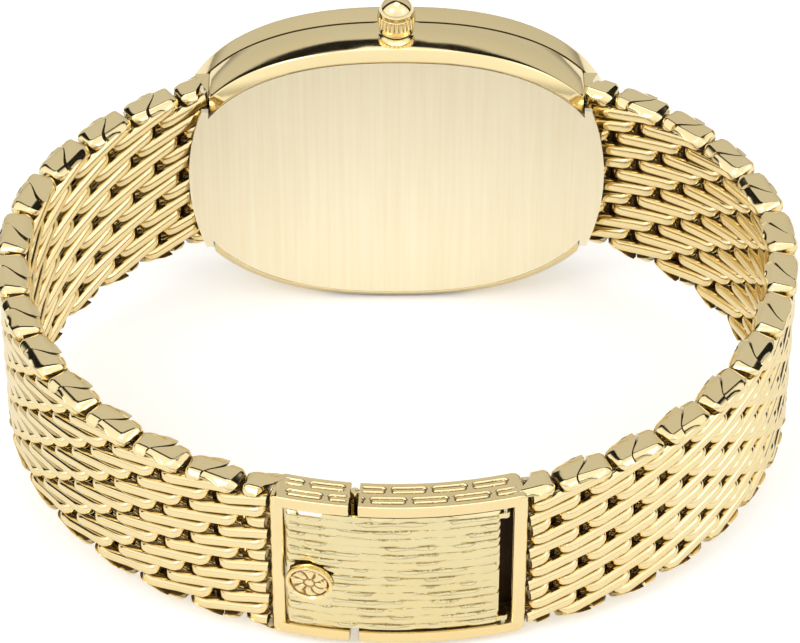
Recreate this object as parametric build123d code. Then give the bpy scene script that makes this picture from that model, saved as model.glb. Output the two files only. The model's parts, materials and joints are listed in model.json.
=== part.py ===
from build123d import *
import math
import os

# An oval wristwatch on a woven gold bracelet, in millimetres.
# Working axes: X to the right along the case's long axis, Y away from the clasp towards the dial,
# Z along the crown. The finished watch is then leaned until it stands on its lower edge.

# Ring that the bracelet's centreline follows, seen along the crown's axis
RING_HALF_WIDTH = 28.4
BAND_START_Y = 17.8744
RING_TO_CLASP = 24.85
RING_STEPS = 2000

# Bracelet weave
CELLS_PER_SIDE = 26
ROWS_PER_BODY = 2
BODIES_PER_SIDE = 12
BAND_THICKNESS = 2.4
BAND_WIDTH_AT_CASE = 15.8
BAND_WIDTH_AT_CLASP = 14.2
STRAND_DEPTH = 0.9
STRAND_GAP = 0.12
ROW_END_GAP = 0.6
RIM_SEAM_GAP = 0.16
ROW_END_ROUND = 0.85
TURN_LENGTH = 0.75
PIN_RADIUS = 0.25
PIN_END_GAP = 0.12
FIRST_PIN_STANDOFF = 0.6
LEVELS_ACROSS = 25 / 3
RIM_LEVEL = LEVELS_ACROSS / 2
STRAND_HALF_LEVEL = 1 / 3
TOP_LEVEL = 4
CELLS_PER_ROW = 3

# Case, with depths counted from the back plane towards the dial
BACK_PLANE_Y = 15.4
OVAL_POWER = 2.35
OVAL_POINTS = 32
BACK_HALF_LENGTH = 16.1
BACK_HALF_HEIGHT = 12.06
BACK_THICKNESS = 0.7
BACK_SEAT_GAP = 0.03
EAR_HALF_HEIGHT = 7.1
EAR_CORNER_X = 14.95
EAR_THICKNESS = 0.4
MIDDLE_HALF_LENGTH = 16.95
MIDDLE_HALF_HEIGHT = 13.0
BEVEL_DEPTH = 0.5
MIDDLE_TOP = 3.65
CASE_END_X = 14.4
CASE_END_HALF_HEIGHT = 8.1
CAVITY_HALF_LENGTH = 13.9
CAVITY_HALF_HEIGHT = 10.8
BEZEL_GAP = 0.03
BEZEL_BULGE = 0.08
BEZEL_SHOULDER = 5.3
BEZEL_TOP = 5.95
BEZEL_TOP_HALF_LENGTH = 16.15
BEZEL_TOP_HALF_HEIGHT = 12.25
CRYSTAL_HALF_LENGTH = 14.3
CRYSTAL_HALF_HEIGHT = 10.6
CRYSTAL_SEAT = 5.1
CRYSTAL_TOP = 6.0
CRYSTAL_GAP = 0.03
WINDOW_HALF_LENGTH = 13.6
WINDOW_HALF_HEIGHT = 9.9

# Dial and hands
DIAL_HALF_LENGTH = 13.8
DIAL_HALF_HEIGHT = 10.7
DIAL_BOTTOM = 3.7
DIAL_THICKNESS = 0.35
DIAL_HOLE_RADIUS = 0.9
MARKER_COUNT = 12
MARKER_LENGTH = 1.9
MARKER_WIDTH = 0.32
MARKER_HEIGHT = 0.14
MARKER_RING_SHARE = 0.86
HOUR_HAND_LENGTH = 6.2
MINUTE_HAND_LENGTH = 8.9
HAND_TAIL = 1.4
HAND_WIDTH = 0.55
HAND_THICKNESS = 0.1
HOUR_HAND_BOTTOM = 4.22
MINUTE_HAND_BOTTOM = 4.5
HAND_HUB_WALL = 0.31
HOUR_HAND_TURN = 60
MINUTE_HAND_TURN = -60

# Movement, a thin round calibre carried in an oval ring
PLATE_RADIUS = 9.6
RING_GAP = 0.1
RING_BOTTOM = 0.75
RING_TOP = 3.65
PLATE_BOTTOM = 1.9
PLATE_TOP = 2.6
BRIDGE_BOTTOM = 0.8
BRIDGE_TOP = 1.15
BRIDGE_EDGE_INSET = 0.3
LOWER_LEVEL = 1.24
UPPER_LEVEL = 1.52
WHEEL_THICKNESS = 0.2
DRUM_THICKNESS = 0.32
ARBOR_RADIUS = 0.14
ARBOR_GAP = 0.04
PIVOT_REACH = 0.2
TOOTH_DEPTH = 0.14
TOOTH_TOP_SHARE = 0.4
TOOTH_FOOT_SHARE = 0.6
SCREW_RADIUS = 0.35
SCREW_HEAD_RADIUS = 0.6
SCREW_HEAD_HEIGHT = 0.14
SCREW_SLOT_WIDTH = 0.14
SCREW_SLOT_DEPTH = 0.07
CANNON_RADIUS = 0.42
CANNON_PINION_RADIUS = 0.8
HOUR_TUBE_BORE = 0.5
HOUR_TUBE_RADIUS = 0.72
HOUR_WHEEL_RADIUS = 2.3
HOUR_WHEEL_BOTTOM = 3.2
CANNON_BOTTOM = 2.68
MOTION_GEAR_THICKNESS = 0.3

# Movement's train, laid out from the centre wheel; headings are degrees from +X towards +Z
BARREL_RADIUS = 3.5
BARREL_TEETH = 60
BARREL_HEADING = 143
CENTER_WHEEL_RADIUS = 2.6
CENTER_WHEEL_TEETH = 64
CENTER_PINION_RADIUS = 0.55
CENTER_PINION_TEETH = 10
THIRD_WHEEL_RADIUS = 1.9
THIRD_WHEEL_TEETH = 52
THIRD_PINION_RADIUS = 0.42
THIRD_PINION_TEETH = 8
THIRD_HEADING = -60
FOURTH_WHEEL_RADIUS = 1.7
FOURTH_WHEEL_TEETH = 48
FOURTH_PINION_RADIUS = 0.38
FOURTH_PINION_TEETH = 8
FOURTH_HEADING = 13
ESCAPE_WHEEL_RADIUS = 1.2
ESCAPE_WHEEL_TEETH = 15
ESCAPE_PINION_RADIUS = 0.3
ESCAPE_PINION_TEETH = 7
ESCAPE_HEADING = 39
RATCHET_RADIUS = 1.4
RATCHET_TEETH = 30
MESH_GAP = 0.06
FORK_STANDOFF = 1.05
FORK_HEADING = 77
FORK_ARM_LENGTH = 2.9
FORK_ARM_WIDTH = 0.3
FORK_PALLET_REACH = 0.75
FORK_PALLET_WIDTH = 0.28
FORK_TO_BALANCE = 3.5
BALANCE_HEADING = 120
BALANCE_RADIUS = 2.1
BALANCE_RIM_WIDTH = 0.35
BALANCE_ARM_WIDTH = 0.3
BALANCE_ROLLER_RADIUS = 0.35
COCK_HEADING = 46
COCK_CLEARANCE = 0.1
COCK_WIDTH = 1.2
SCREW_RING_RADIUS = 8.3
TRAIN_SCREW_HEADINGS = (205, 252, 330)
CANNON_PINION_TEETH = 12
HOUR_WHEEL_TEETH = 48

# Crown and winding stem, whose axis runs along Z
CROWN_DEPTH = 2.6
CROWN_RADIUS = 1.45
CROWN_COLLAR_RADIUS = 1.3
CROWN_TUBE_RADIUS = 0.62
CROWN_BASE = 13.3
CROWN_RING_HEIGHT = 0.6
CROWN_FLUTE_HEIGHT = 1.0
CROWN_DOME_HEIGHT = 1.3
CROWN_FLUTES = 26
CROWN_FLUTE_DEPTH = 0.12
CROWN_BORE_RADIUS = 0.75
CROWN_BORE_DEPTH = 1.1
GASKET_HEIGHT = 0.4
GASKET_GAP = 0.03
STEM_RADIUS = 0.3
STEM_GAP = 0.06
STEM_INNER_END = 6.2

# Clasp, bent round the ring
CLASP_HALF_LENGTH = 8.85
CLASP_RAIL_HEIGHT = 1.0
CLASP_BAR_WIDTH = 1.0
LEFT_RAIL_END = -3.4
SLOT_WEB_X = 6.5
SLOT_WEB_THICKNESS = 0.35
RIGHT_RAIL_END = -2.8
COVER_LEFT = -7.65
COVER_RIGHT = 6.95
COVER_HALF_HEIGHT = 5.65
COVER_THICKNESS = 0.4
COVER_BARREL_RADIUS = 0.35
COVER_CORNER_X = -2.5
COVER_CORNER_DROP = 0.25
COVER_PIVOT_X = 7.3
COVER_EAR_HEIGHT = 0.5
CLASP_PIN_RADIUS = 0.18
CLASP_PIN_GAP = 0.03
CLASP_PIN_COVERING = 0.33
LEAF_SIDE_GAP = 0.12
MIDDLE_LEAF_DEPTH = -0.42
INNER_LEAF_DEPTH = -0.92
LEAF_THICKNESS = 0.32
LEAF_TONGUE_X = -5.0
LEAF_TONGUE_HALF_HEIGHT = 2.2
MIDDLE_PIVOT_X = -3.1
FAR_PIVOT_X = 5.9
KNUCKLE_RADIUS = 0.3
INNER_LEAF_LEFT = -7.1
OPEN_STUB_RADIUS = 0.26
EMBLEM_RADIUS = 1.7
EMBLEM_X = -6.1
EMBLEM_Z = -1.0
EMBLEM_HEIGHT = 0.4
EMBLEM_SEAT_GAP = 0.03
EMBLEM_RIM = 0.22
EMBLEM_PETALS = 8
EMBLEM_RELIEF = 0.12
EMBLEM_PETAL_RADIUS = 0.3
EMBLEM_PETAL_RING = 0.95

# Fastening of the bracelet to the case
LUG_SCREW_RADIUS = 0.4
LUG_SCREW_HEAD_RADIUS = 0.75
LUG_SCREW_HEAD_HEIGHT = 0.25
LUG_SCREW_LENGTH = 0.85
LUG_SCREW_Z = 4.4
END_LINK_GAP = 0.03

OVERRUN = 1.0
HALF_TURN = 180
FULL_TURN = 360

HALF_BAND = BAND_THICKNESS / 2
LAYER_IN = HALF_BAND - STRAND_DEPTH
CLASP_HALF_WIDTH = BAND_WIDTH_AT_CLASP / 2


# Ring and pins
START_ANGLE = math.acos((CASE_END_X + FIRST_PIN_STANDOFF) / RING_HALF_WIDTH)
RING_TO_CASE = BAND_START_Y / math.sin(START_ANGLE)


def ring_point(angle):
    """Point of the left half of the centreline: 90 degrees faces the case, -90 the clasp."""
    reach = RING_TO_CASE if angle > 0 else RING_TO_CLASP
    return (-RING_HALF_WIDTH * math.cos(angle), reach * math.sin(angle))


def pin_points():
    """The pins' places, at equal steps along the centreline from the case to the clasp."""
    start = START_ANGLE
    end = -math.acos(CLASP_HALF_LENGTH / RING_HALF_WIDTH)
    path = [ring_point(start + (end - start) * step / RING_STEPS) for step in range(RING_STEPS + 1)]
    lengths = [0]
    for before, after in zip(path, path[1:]):
        lengths.append(lengths[-1] + math.dist(before, after))
    pitch = lengths[-1] / CELLS_PER_SIDE
    points = []
    step = 0
    for pin in range(CELLS_PER_SIDE + 1):
        while step < RING_STEPS and lengths[step] < pin * pitch:
            step += 1
        points.append(path[step])
    return points, pitch


PINS, PITCH = pin_points()
BAND_LENGTH = PITCH * CELLS_PER_SIDE


def row_heading(row):
    """Direction of a row in degrees: from its first pin to its second."""
    first = min(max(row + 1, 0), CELLS_PER_SIDE - 1)
    dx = PINS[first + 1][0] - PINS[first][0]
    dy = PINS[first + 1][1] - PINS[first][1]
    return math.degrees(math.atan2(dy, dx))


def row_place(row):
    """Location of a row: X along the band, -Y outwards, Z up, its origin at its first pin."""
    first = min(max(row + 1, 0), CELLS_PER_SIDE)
    heading = row_heading(row)
    offset = (row + 1 - first) * PITCH
    return Pos(PINS[first][0], PINS[first][1], 0) * Rot(0, 0, heading) * Pos(offset, 0, 0)


def half_width(s):
    """Half the band's width at a length along it."""
    share = s / BAND_LENGTH
    return (BAND_WIDTH_AT_CASE + (BAND_WIDTH_AT_CLASP - BAND_WIDTH_AT_CASE) * share) / 2


def level_z(level, s):
    """Height of a weave level, which narrows with the band."""
    return level * half_width(s) / RIM_LEVEL


def prism(points, depth_in, depth_out):
    """A flat outline of (along, up) points, given a depth range counted outwards."""
    outline = Polyline([(x, -depth_in, z) for x, z in points], close=True)
    return extrude(make_face(outline), amount=depth_out - depth_in, dir=(0, -1, 0))


def strip(row, low_edge, high_edge, start, end, breaks, depth_in, depth_out):
    """The space between two edges, functions of the length along the band, cut at the rims."""
    origin = (row + 1) * PITCH
    stations = sorted({start, end} | {s for s in breaks if start < s < end})
    low = [(s - origin, max(low_edge(s), -half_width(s))) for s in stations]
    high = [(s - origin, min(high_edge(s), half_width(s))) for s in stations]
    return prism(low + high[::-1], depth_in, depth_out)


def strand(row, left_level, right_level, start, end, depth_in, depth_out):
    """One slanting strand of a row's coil, from the row's left end to its right end."""
    left = row * PITCH
    slope = (right_level - left_level) / (CELLS_PER_ROW * PITCH)

    def middle(s):
        return level_z(left_level + slope * (s - left), s)

    def half(s):
        return level_z(STRAND_HALF_LEVEL, s) - STRAND_GAP / 2

    outermost = max(abs(left_level), abs(right_level))
    breaks = []
    if outermost == TOP_LEVEL:
        cut_level = RIM_LEVEL - STRAND_HALF_LEVEL
        signed_cut = math.copysign(cut_level, left_level + right_level)
        breaks.append(left + (signed_cut - left_level) / slope)
    return strip(row, lambda s: middle(s) - half(s), lambda s: middle(s) + half(s),
                 start, end, breaks, depth_in, depth_out)


def turn(row, level, at_left, depth_in, depth_out):
    """The bend that joins an outer strand to an inner one, no higher than where both lie."""
    if at_left:
        start = row * PITCH + ROW_END_GAP / 2
        end = start + TURN_LENGTH
    else:
        end = (row + CELLS_PER_ROW) * PITCH - ROW_END_GAP / 2
        start = end - TURN_LENGTH
    tip = row * PITCH if at_left else (row + CELLS_PER_ROW) * PITCH

    def half(s):
        spread = abs(s - tip) / (CELLS_PER_ROW * PITCH)
        return level_z(STRAND_HALF_LEVEL - spread, s) - STRAND_GAP / 2

    return strip(row, lambda s: level_z(level, s) - half(s), lambda s: level_z(level, s) + half(s),
                 start, end, [], depth_in, depth_out)


def rim_cap(row, side, start, end, near_start, near_end, depth_in, depth_out):
    """A piece of the rim beyond the neighbouring strand; side is 1 at the top, -1 at the bottom."""
    def edge(s):
        share = (s - start) / (end - start)
        level = near_start + (near_end - near_start) * share
        return side * (level_z(level, s) + STRAND_GAP / 2)

    def rim(s):
        return side * half_width(s)

    low, high = (edge, rim) if side > 0 else (rim, edge)
    return strip(row, low, high, start, end, [], depth_in, depth_out)


def row_levels(row):
    """Left and right levels of a row's strands, outer then inner."""
    if row % 2 == 0:
        outer = [(level, level + 1) for level in (3, 1, -1, -3)]
        inner = [(level, level - 1) for level in (3, 1, -1, -3)]
    else:
        outer = [(level, level + 1) for level in (2, 0, -2, -4)]
        inner = [(level, level - 1) for level in (4, 2, 0, -2)]
    return outer, inner


def row_rims(row, clip_start, clip_end):
    """The two rim blocks of a row, at its right end on even rows and its left end on odd ones."""
    even = row % 2 == 0
    inner_edge_level = RIM_LEVEL - STRAND_HALF_LEVEL / 2 - STRAND_HALF_LEVEL
    outer_edge_level = RIM_LEVEL - STRAND_HALF_LEVEL / 2
    if even:
        start = (row + 2) * PITCH + RIM_SEAM_GAP / 2
        end = (row + CELLS_PER_ROW) * PITCH - ROW_END_GAP / 2
        near_start, near_end = outer_edge_level, inner_edge_level
    else:
        start = row * PITCH + ROW_END_GAP / 2
        end = (row + 1) * PITCH - RIM_SEAM_GAP / 2
        near_start, near_end = inner_edge_level, outer_edge_level
    start = max(start, clip_start)
    end = min(end, clip_end)
    if end <= start:
        return []
    pieces = []
    for side in (1, -1):
        outer_cap = (side > 0) != even
        depths = (-LAYER_IN, HALF_BAND) if outer_cap else (-HALF_BAND, LAYER_IN)
        pieces.append(rim_cap(row, side, start, end, near_start, near_end, *depths))
    return pieces


def row_slab(row, start, end):
    """The row's envelope, whose ends are rounded across the band's thickness."""
    origin = (row + 1) * PITCH
    middle = (start + end) / 2 - origin
    outline = RectangleRounded(end - start, BAND_THICKNESS, ROW_END_ROUND)
    slab = extrude(outline, amount=BAND_WIDTH_AT_CASE / 2 + OVERRUN, both=True)
    return Pos(middle, 0, 0) * slab


def coil_row(row, clip_start=None, clip_end=None):
    """One flattened coil of the weave in its own place on the ring."""
    start = row * PITCH + ROW_END_GAP / 2
    end = (row + CELLS_PER_ROW) * PITCH - ROW_END_GAP / 2
    low_clip = -OVERRUN - BAND_LENGTH if clip_start is None else clip_start
    high_clip = OVERRUN + 2 * BAND_LENGTH if clip_end is None else clip_end
    cut_start = max(start, low_clip)
    cut_end = min(end, high_clip)
    outer, inner = row_levels(row)
    pieces = []
    for left_level, right_level in outer:
        pieces.append(strand(row, left_level, right_level, cut_start, cut_end, LAYER_IN, HALF_BAND))
    for left_level, right_level in inner:
        pieces.append(strand(row, left_level, right_level, cut_start, cut_end, -HALF_BAND, -LAYER_IN))
    if cut_start == start:
        for level in {o[0] for o in outer} & {i[0] for i in inner}:
            pieces.append(turn(row, level, True, -LAYER_IN, LAYER_IN))
    if cut_end == end:
        for level in {o[1] for o in outer} & {i[1] for i in inner}:
            pieces.append(turn(row, level, False, -LAYER_IN, LAYER_IN))
    pieces += row_rims(row, low_clip, high_clip)
    slab_start = start if cut_start == start else cut_start - OVERRUN
    slab_end = end if cut_end == end else cut_end + OVERRUN
    fused = pieces[0].fuse(*pieces[1:]) & row_slab(row, slab_start, slab_end)
    return row_place(row) * fused


def row_pin(pin):
    """The straight pin that links two rows, short of both rim blocks."""
    s = pin * PITCH
    length = 2 * (level_z(RIM_LEVEL - 2 * STRAND_HALF_LEVEL + STRAND_HALF_LEVEL / 2, s) - PIN_END_GAP)
    return Pos(PINS[pin][0], PINS[pin][1], 0) * Cylinder(PIN_RADIUS, length)


def other_side(shape):
    """The same piece for the right half of the bracelet: half a turn about Y."""
    return Rot(0, HALF_TURN, 0) * shape


def bracelet_body(index):
    """Two rows and the two pins that they bring, as separate solids."""
    first = index * ROWS_PER_BODY
    rows = [coil_row(first + step) for step in range(ROWS_PER_BODY)]
    pins = [row_pin(first + step + 1) for step in range(ROWS_PER_BODY)]
    return Compound(rows + pins)


# Case
def oval(half_length, half_height, depth):
    """A full, rounded oval facing the dial, at a depth counted from the back plane."""
    points = []
    for step in range(OVAL_POINTS):
        angle = FULL_TURN * step / OVAL_POINTS
        c = math.cos(math.radians(angle))
        s = math.sin(math.radians(angle))
        x = math.copysign(abs(c) ** (2 / OVAL_POWER), c) * half_length
        z = math.copysign(abs(s) ** (2 / OVAL_POWER), s) * half_height
        points.append((x, BACK_PLANE_Y + depth, z))
    return make_face(Spline(points, periodic=True))


def oval_slab(half_length, half_height, low, high):
    """A straight-sided oval between two depths."""
    return extrude(oval(half_length, half_height, low), amount=high - low, dir=(0, 1, 0))


def oval_loft(sections):
    """A body through ovals given as (half length, half height, depth)."""
    return loft([oval(*section) for section in sections], ruled=True)


def depth_box(x_low, x_high, low, high, z_low, z_high):
    """A box between two depths."""
    box = Box(x_high - x_low, high - low, z_high - z_low)
    middle = ((x_low + x_high) / 2, BACK_PLANE_Y + (low + high) / 2, (z_low + z_high) / 2)
    return Pos(*middle) * box


def ear_pads():
    """The parts of the back that reach under the bracelet, with bowed ends."""
    x = EAR_CORNER_X
    z = EAR_HALF_HEIGHT
    tip = BACK_HALF_LENGTH
    y = BACK_PLANE_Y
    edges = [Line((-x, y, z), (x, y, z)), ThreePointArc((x, y, z), (tip, y, 0), (x, y, -z)),
             Line((x, y, -z), (-x, y, -z)), ThreePointArc((-x, y, -z), (-tip, y, 0), (-x, y, z))]
    pad = extrude(make_face(Curve() + edges), amount=EAR_THICKNESS, dir=(0, 1, 0))
    inner_x = CASE_END_X + BACK_SEAT_GAP
    return pad - depth_box(-inner_x, inner_x, -OVERRUN, OVERRUN, -BACK_HALF_HEIGHT, BACK_HALF_HEIGHT)


def case_back():
    """The flat brushed back: an oval with four shoulders beside the bracelet."""
    plate = oval_slab(BACK_HALF_LENGTH, BACK_HALF_HEIGHT, 0, BACK_THICKNESS)
    thinned = plate - case_end_cuts(EAR_THICKNESS, BACK_THICKNESS + OVERRUN)
    return thinned.fuse(*ear_pads().solids())


def case_end_cuts(low, high):
    """The room that the bracelet needs at both ends of the case."""
    cuts = []
    for side in (1, -1):
        near, far = sorted((side * CASE_END_X, side * (MIDDLE_HALF_LENGTH + OVERRUN)))
        cuts.append(depth_box(near, far, low, high, -CASE_END_HALF_HEIGHT, CASE_END_HALF_HEIGHT))
    return cuts


def lug_screw_holes(radius, start_x, end_x):
    """Cylinders along X where the bracelet's end links are fastened."""
    holes = []
    for side in (1, -1):
        for z in (LUG_SCREW_Z, -LUG_SCREW_Z):
            middle = side * (start_x + end_x) / 2
            place = Pos(middle, BACK_PLANE_Y + lug_screw_depth(), z)
            holes.append(place * Rot(0, HALF_TURN / 2, 0) * Cylinder(radius, end_x - start_x))
    return holes


def lug_screw_depth():
    """Depth of the lug screws, near the dial side where the end link is thick."""
    return MIDDLE_TOP - LUG_SCREW_HEAD_RADIUS - EAR_THICKNESS / 2


def case_middle():
    """The polished middle: a bevel at the back, straight sides and a through cavity."""
    lip = BACK_SEAT_GAP * 2
    bevel = oval_loft([(BACK_HALF_LENGTH + lip, BACK_HALF_HEIGHT + lip, 0),
                       (MIDDLE_HALF_LENGTH, MIDDLE_HALF_HEIGHT, BEVEL_DEPTH)])
    wall = oval_slab(MIDDLE_HALF_LENGTH, MIDDLE_HALF_HEIGHT, BEVEL_DEPTH, MIDDLE_TOP)
    body = bevel.fuse(wall)
    seat = oval_slab(BACK_HALF_LENGTH + BACK_SEAT_GAP, BACK_HALF_HEIGHT + BACK_SEAT_GAP,
                     -OVERRUN, BACK_THICKNESS)
    cavity = oval_slab(CAVITY_HALF_LENGTH, CAVITY_HALF_HEIGHT, -OVERRUN, MIDDLE_TOP + OVERRUN)
    tube_hole = stem_cylinder(STEM_RADIUS + STEM_GAP, CAVITY_HALF_HEIGHT - OVERRUN, CROWN_BASE)
    tube = stem_cylinder(CROWN_TUBE_RADIUS, MIDDLE_HALF_HEIGHT - OVERRUN / 2, tube_top())
    flare = Pos(0, BACK_PLANE_Y + CROWN_DEPTH, (MIDDLE_HALF_HEIGHT - OVERRUN / 2 + CROWN_BASE - STEM_GAP) / 2)
    flare_height = CROWN_BASE - STEM_GAP - MIDDLE_HALF_HEIGHT + OVERRUN / 2
    collar = flare * Cone(CROWN_COLLAR_RADIUS + STEM_RADIUS, CROWN_COLLAR_RADIUS, flare_height)
    collar &= depth_box(-MIDDLE_HALF_LENGTH, MIDDLE_HALF_LENGTH, BEVEL_DEPTH, MIDDLE_TOP, 0, CROWN_BASE)
    body = body.fuse(collar, tube)
    screw_room = lug_screw_holes(LUG_SCREW_RADIUS + CLASP_PIN_GAP, CAVITY_HALF_LENGTH - OVERRUN,
                                 CASE_END_X + OVERRUN)
    head_room = lug_screw_holes(LUG_SCREW_HEAD_RADIUS + RING_GAP, CAVITY_HALF_LENGTH - OVERRUN,
                                CAVITY_HALF_LENGTH)
    tube_bore = stem_cylinder(STEM_RADIUS + STEM_GAP, CROWN_BASE - OVERRUN, tube_top() + OVERRUN)
    cuts = [seat, cavity, tube_hole, tube_bore]
    return body - cuts - case_end_cuts(-OVERRUN, MIDDLE_TOP + OVERRUN) - screw_room - head_room


def tube_top():
    """Top of the tube that the crown slides on."""
    return CROWN_BASE + CROWN_BORE_DEPTH - GASKET_HEIGHT - STEM_GAP


def bezel():
    """The dial-side ring: a low bulge that falls to the crystal."""
    low = MIDDLE_TOP + BEZEL_GAP
    outside = oval_loft([(MIDDLE_HALF_LENGTH, MIDDLE_HALF_HEIGHT, low),
                         (MIDDLE_HALF_LENGTH + BEZEL_BULGE, MIDDLE_HALF_HEIGHT + BEZEL_BULGE, BEZEL_SHOULDER),
                         (BEZEL_TOP_HALF_LENGTH, BEZEL_TOP_HALF_HEIGHT, BEZEL_TOP)])
    window = oval_slab(WINDOW_HALF_LENGTH, WINDOW_HALF_HEIGHT, low - OVERRUN, BEZEL_TOP + OVERRUN)
    seat = oval_slab(CRYSTAL_HALF_LENGTH + CRYSTAL_GAP, CRYSTAL_HALF_HEIGHT + CRYSTAL_GAP,
                     CRYSTAL_SEAT - CRYSTAL_GAP, BEZEL_TOP + OVERRUN)
    room = oval_slab(CAVITY_HALF_LENGTH, CAVITY_HALF_HEIGHT, low - OVERRUN,
                     DIAL_BOTTOM + DIAL_THICKNESS + CRYSTAL_GAP)
    return outside - [window, seat, room]


def crystal():
    """The flat sapphire window."""
    return oval_slab(CRYSTAL_HALF_LENGTH, CRYSTAL_HALF_HEIGHT, CRYSTAL_SEAT, CRYSTAL_TOP)


# Dial and hands
def dial_cylinder(radius, low, high, x=0, z=0):
    """A cylinder square to the dial, between two depths."""
    place = Pos(x, BACK_PLANE_Y + (low + high) / 2, z) * Rot(HALF_TURN / 2, 0, 0)
    return place * Cylinder(radius, high - low)


def dial():
    """The plain oval dial with a hole for the hands."""
    plate = oval_slab(DIAL_HALF_LENGTH, DIAL_HALF_HEIGHT, DIAL_BOTTOM, DIAL_BOTTOM + DIAL_THICKNESS)
    return plate - dial_cylinder(DIAL_HOLE_RADIUS, DIAL_BOTTOM - OVERRUN,
                                 DIAL_BOTTOM + DIAL_THICKNESS + OVERRUN)


def dial_bar(length, width, low, high, centre_out, angle, x=0, z=0):
    """A flat bar at a distance out from a point, turned about the dial's axis."""
    bar = Box(width, high - low, length)
    place = Pos(x, BACK_PLANE_Y + (low + high) / 2, z)
    return place * Rot(0, angle, 0) * Pos(0, 0, centre_out) * bar


def hour_markers():
    """Applied hour bars, set round an oval inside the bezel's window."""
    low = DIAL_BOTTOM + DIAL_THICKNESS
    bars = []
    for hour in range(MARKER_COUNT):
        angle = FULL_TURN * hour / MARKER_COUNT
        across = math.sin(math.radians(angle)) / WINDOW_HALF_LENGTH
        up = math.cos(math.radians(angle)) / WINDOW_HALF_HEIGHT
        reach = MARKER_RING_SHARE / math.hypot(across, up)
        bars.append(dial_bar(MARKER_LENGTH, MARKER_WIDTH, low, low + MARKER_HEIGHT,
                             reach - MARKER_LENGTH / 2, angle))
    return Compound(bars)


def hand(length, bottom, bore, angle):
    """A straight baton hand with its hub."""
    top = bottom + HAND_THICKNESS
    bar = dial_bar(length + HAND_TAIL, HAND_WIDTH, bottom, top, (length - HAND_TAIL) / 2, angle)
    hub = dial_cylinder(bore + HAND_HUB_WALL, bottom, top)
    return bar.fuse(hub) - dial_cylinder(bore, bottom - OVERRUN, top + OVERRUN)


def hour_hand():
    """The short hand, pressed on the hour wheel's tube."""
    return hand(HOUR_HAND_LENGTH, HOUR_HAND_BOTTOM, HOUR_TUBE_RADIUS, HOUR_HAND_TURN)


def minute_hand():
    """The long hand, pressed on the cannon pinion."""
    return hand(MINUTE_HAND_LENGTH, MINUTE_HAND_BOTTOM, CANNON_RADIUS, MINUTE_HAND_TURN)


# Movement
def toothed(radius, teeth, low, high, x=0, z=0):
    """A toothed disc: straight-flanked teeth round a circle, square to the dial."""
    points = []
    y = BACK_PLANE_Y + low
    for tooth in range(teeth):
        start = FULL_TURN * tooth / teeth
        step = FULL_TURN / teeth
        for share, reach in ((0, radius - TOOTH_DEPTH), (TOOTH_TOP_SHARE / 2, radius),
                             (TOOTH_TOP_SHARE, radius), (TOOTH_FOOT_SHARE, radius - TOOTH_DEPTH)):
            angle = math.radians(start + step * share)
            points.append((x + reach * math.cos(angle), y, z + reach * math.sin(angle)))
    return extrude(make_face(Polyline(points, close=True)), amount=high - low, dir=(0, 1, 0))


def beside(origin, distance, heading):
    """A place at a distance and heading from another."""
    angle = math.radians(heading)
    return (origin[0] + distance * math.cos(angle), origin[1] + distance * math.sin(angle))


CENTER = (0, 0)
BARREL = beside(CENTER, BARREL_RADIUS + CENTER_PINION_RADIUS + MESH_GAP, BARREL_HEADING)
THIRD = beside(CENTER, CENTER_WHEEL_RADIUS + THIRD_PINION_RADIUS + MESH_GAP, THIRD_HEADING)
FOURTH = beside(THIRD, THIRD_WHEEL_RADIUS + FOURTH_PINION_RADIUS + MESH_GAP, FOURTH_HEADING)
ESCAPE = beside(FOURTH, FOURTH_WHEEL_RADIUS + ESCAPE_PINION_RADIUS + MESH_GAP, ESCAPE_HEADING)
FORK = beside(ESCAPE, ESCAPE_WHEEL_RADIUS + FORK_STANDOFF, FORK_HEADING)
BALANCE = beside(FORK, FORK_TO_BALANCE, BALANCE_HEADING)
COCK_SCREW = beside(BALANCE, BALANCE_RADIUS + SCREW_HEAD_RADIUS + COCK_CLEARANCE, COCK_HEADING)
TRAIN_SCREWS = [beside(CENTER, SCREW_RING_RADIUS, heading) for heading in TRAIN_SCREW_HEADINGS]
ALL_SCREWS = TRAIN_SCREWS + [COCK_SCREW]
TRAIN_PLACES = [BARREL, CENTER, THIRD, FOURTH, ESCAPE, FORK]


def arbor(x, z):
    """A wheel's arbor, whose ends run in the bridge and in the plate."""
    return dial_cylinder(ARBOR_RADIUS, BRIDGE_TOP - PIVOT_REACH, PLATE_BOTTOM + PIVOT_REACH, x, z)


def train_wheel(place, radius, teeth, level, pinion_radius, pinion_teeth):
    """A wheel, its pinion on the other level, and the arbor through both."""
    x, z = place
    other = UPPER_LEVEL if level == LOWER_LEVEL else LOWER_LEVEL
    wheel = toothed(radius, teeth, level, level + WHEEL_THICKNESS, x, z)
    pinion = toothed(pinion_radius, pinion_teeth, other, other + WHEEL_THICKNESS, x, z)
    return wheel.fuse(pinion, arbor(x, z))


def center_wheel():
    """The wheel on the watch's centre."""
    return train_wheel(CENTER, CENTER_WHEEL_RADIUS, CENTER_WHEEL_TEETH, LOWER_LEVEL,
                       CENTER_PINION_RADIUS, CENTER_PINION_TEETH)


def third_wheel():
    """The wheel between the centre and the seconds arbor."""
    return train_wheel(THIRD, THIRD_WHEEL_RADIUS, THIRD_WHEEL_TEETH, UPPER_LEVEL,
                       THIRD_PINION_RADIUS, THIRD_PINION_TEETH)


def fourth_wheel():
    """The wheel that turns once a minute."""
    return train_wheel(FOURTH, FOURTH_WHEEL_RADIUS, FOURTH_WHEEL_TEETH, LOWER_LEVEL,
                       FOURTH_PINION_RADIUS, FOURTH_PINION_TEETH)


def escape_wheel():
    """The last wheel of the train."""
    return train_wheel(ESCAPE, ESCAPE_WHEEL_RADIUS, ESCAPE_WHEEL_TEETH, UPPER_LEVEL,
                       ESCAPE_PINION_RADIUS, ESCAPE_PINION_TEETH)


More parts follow.
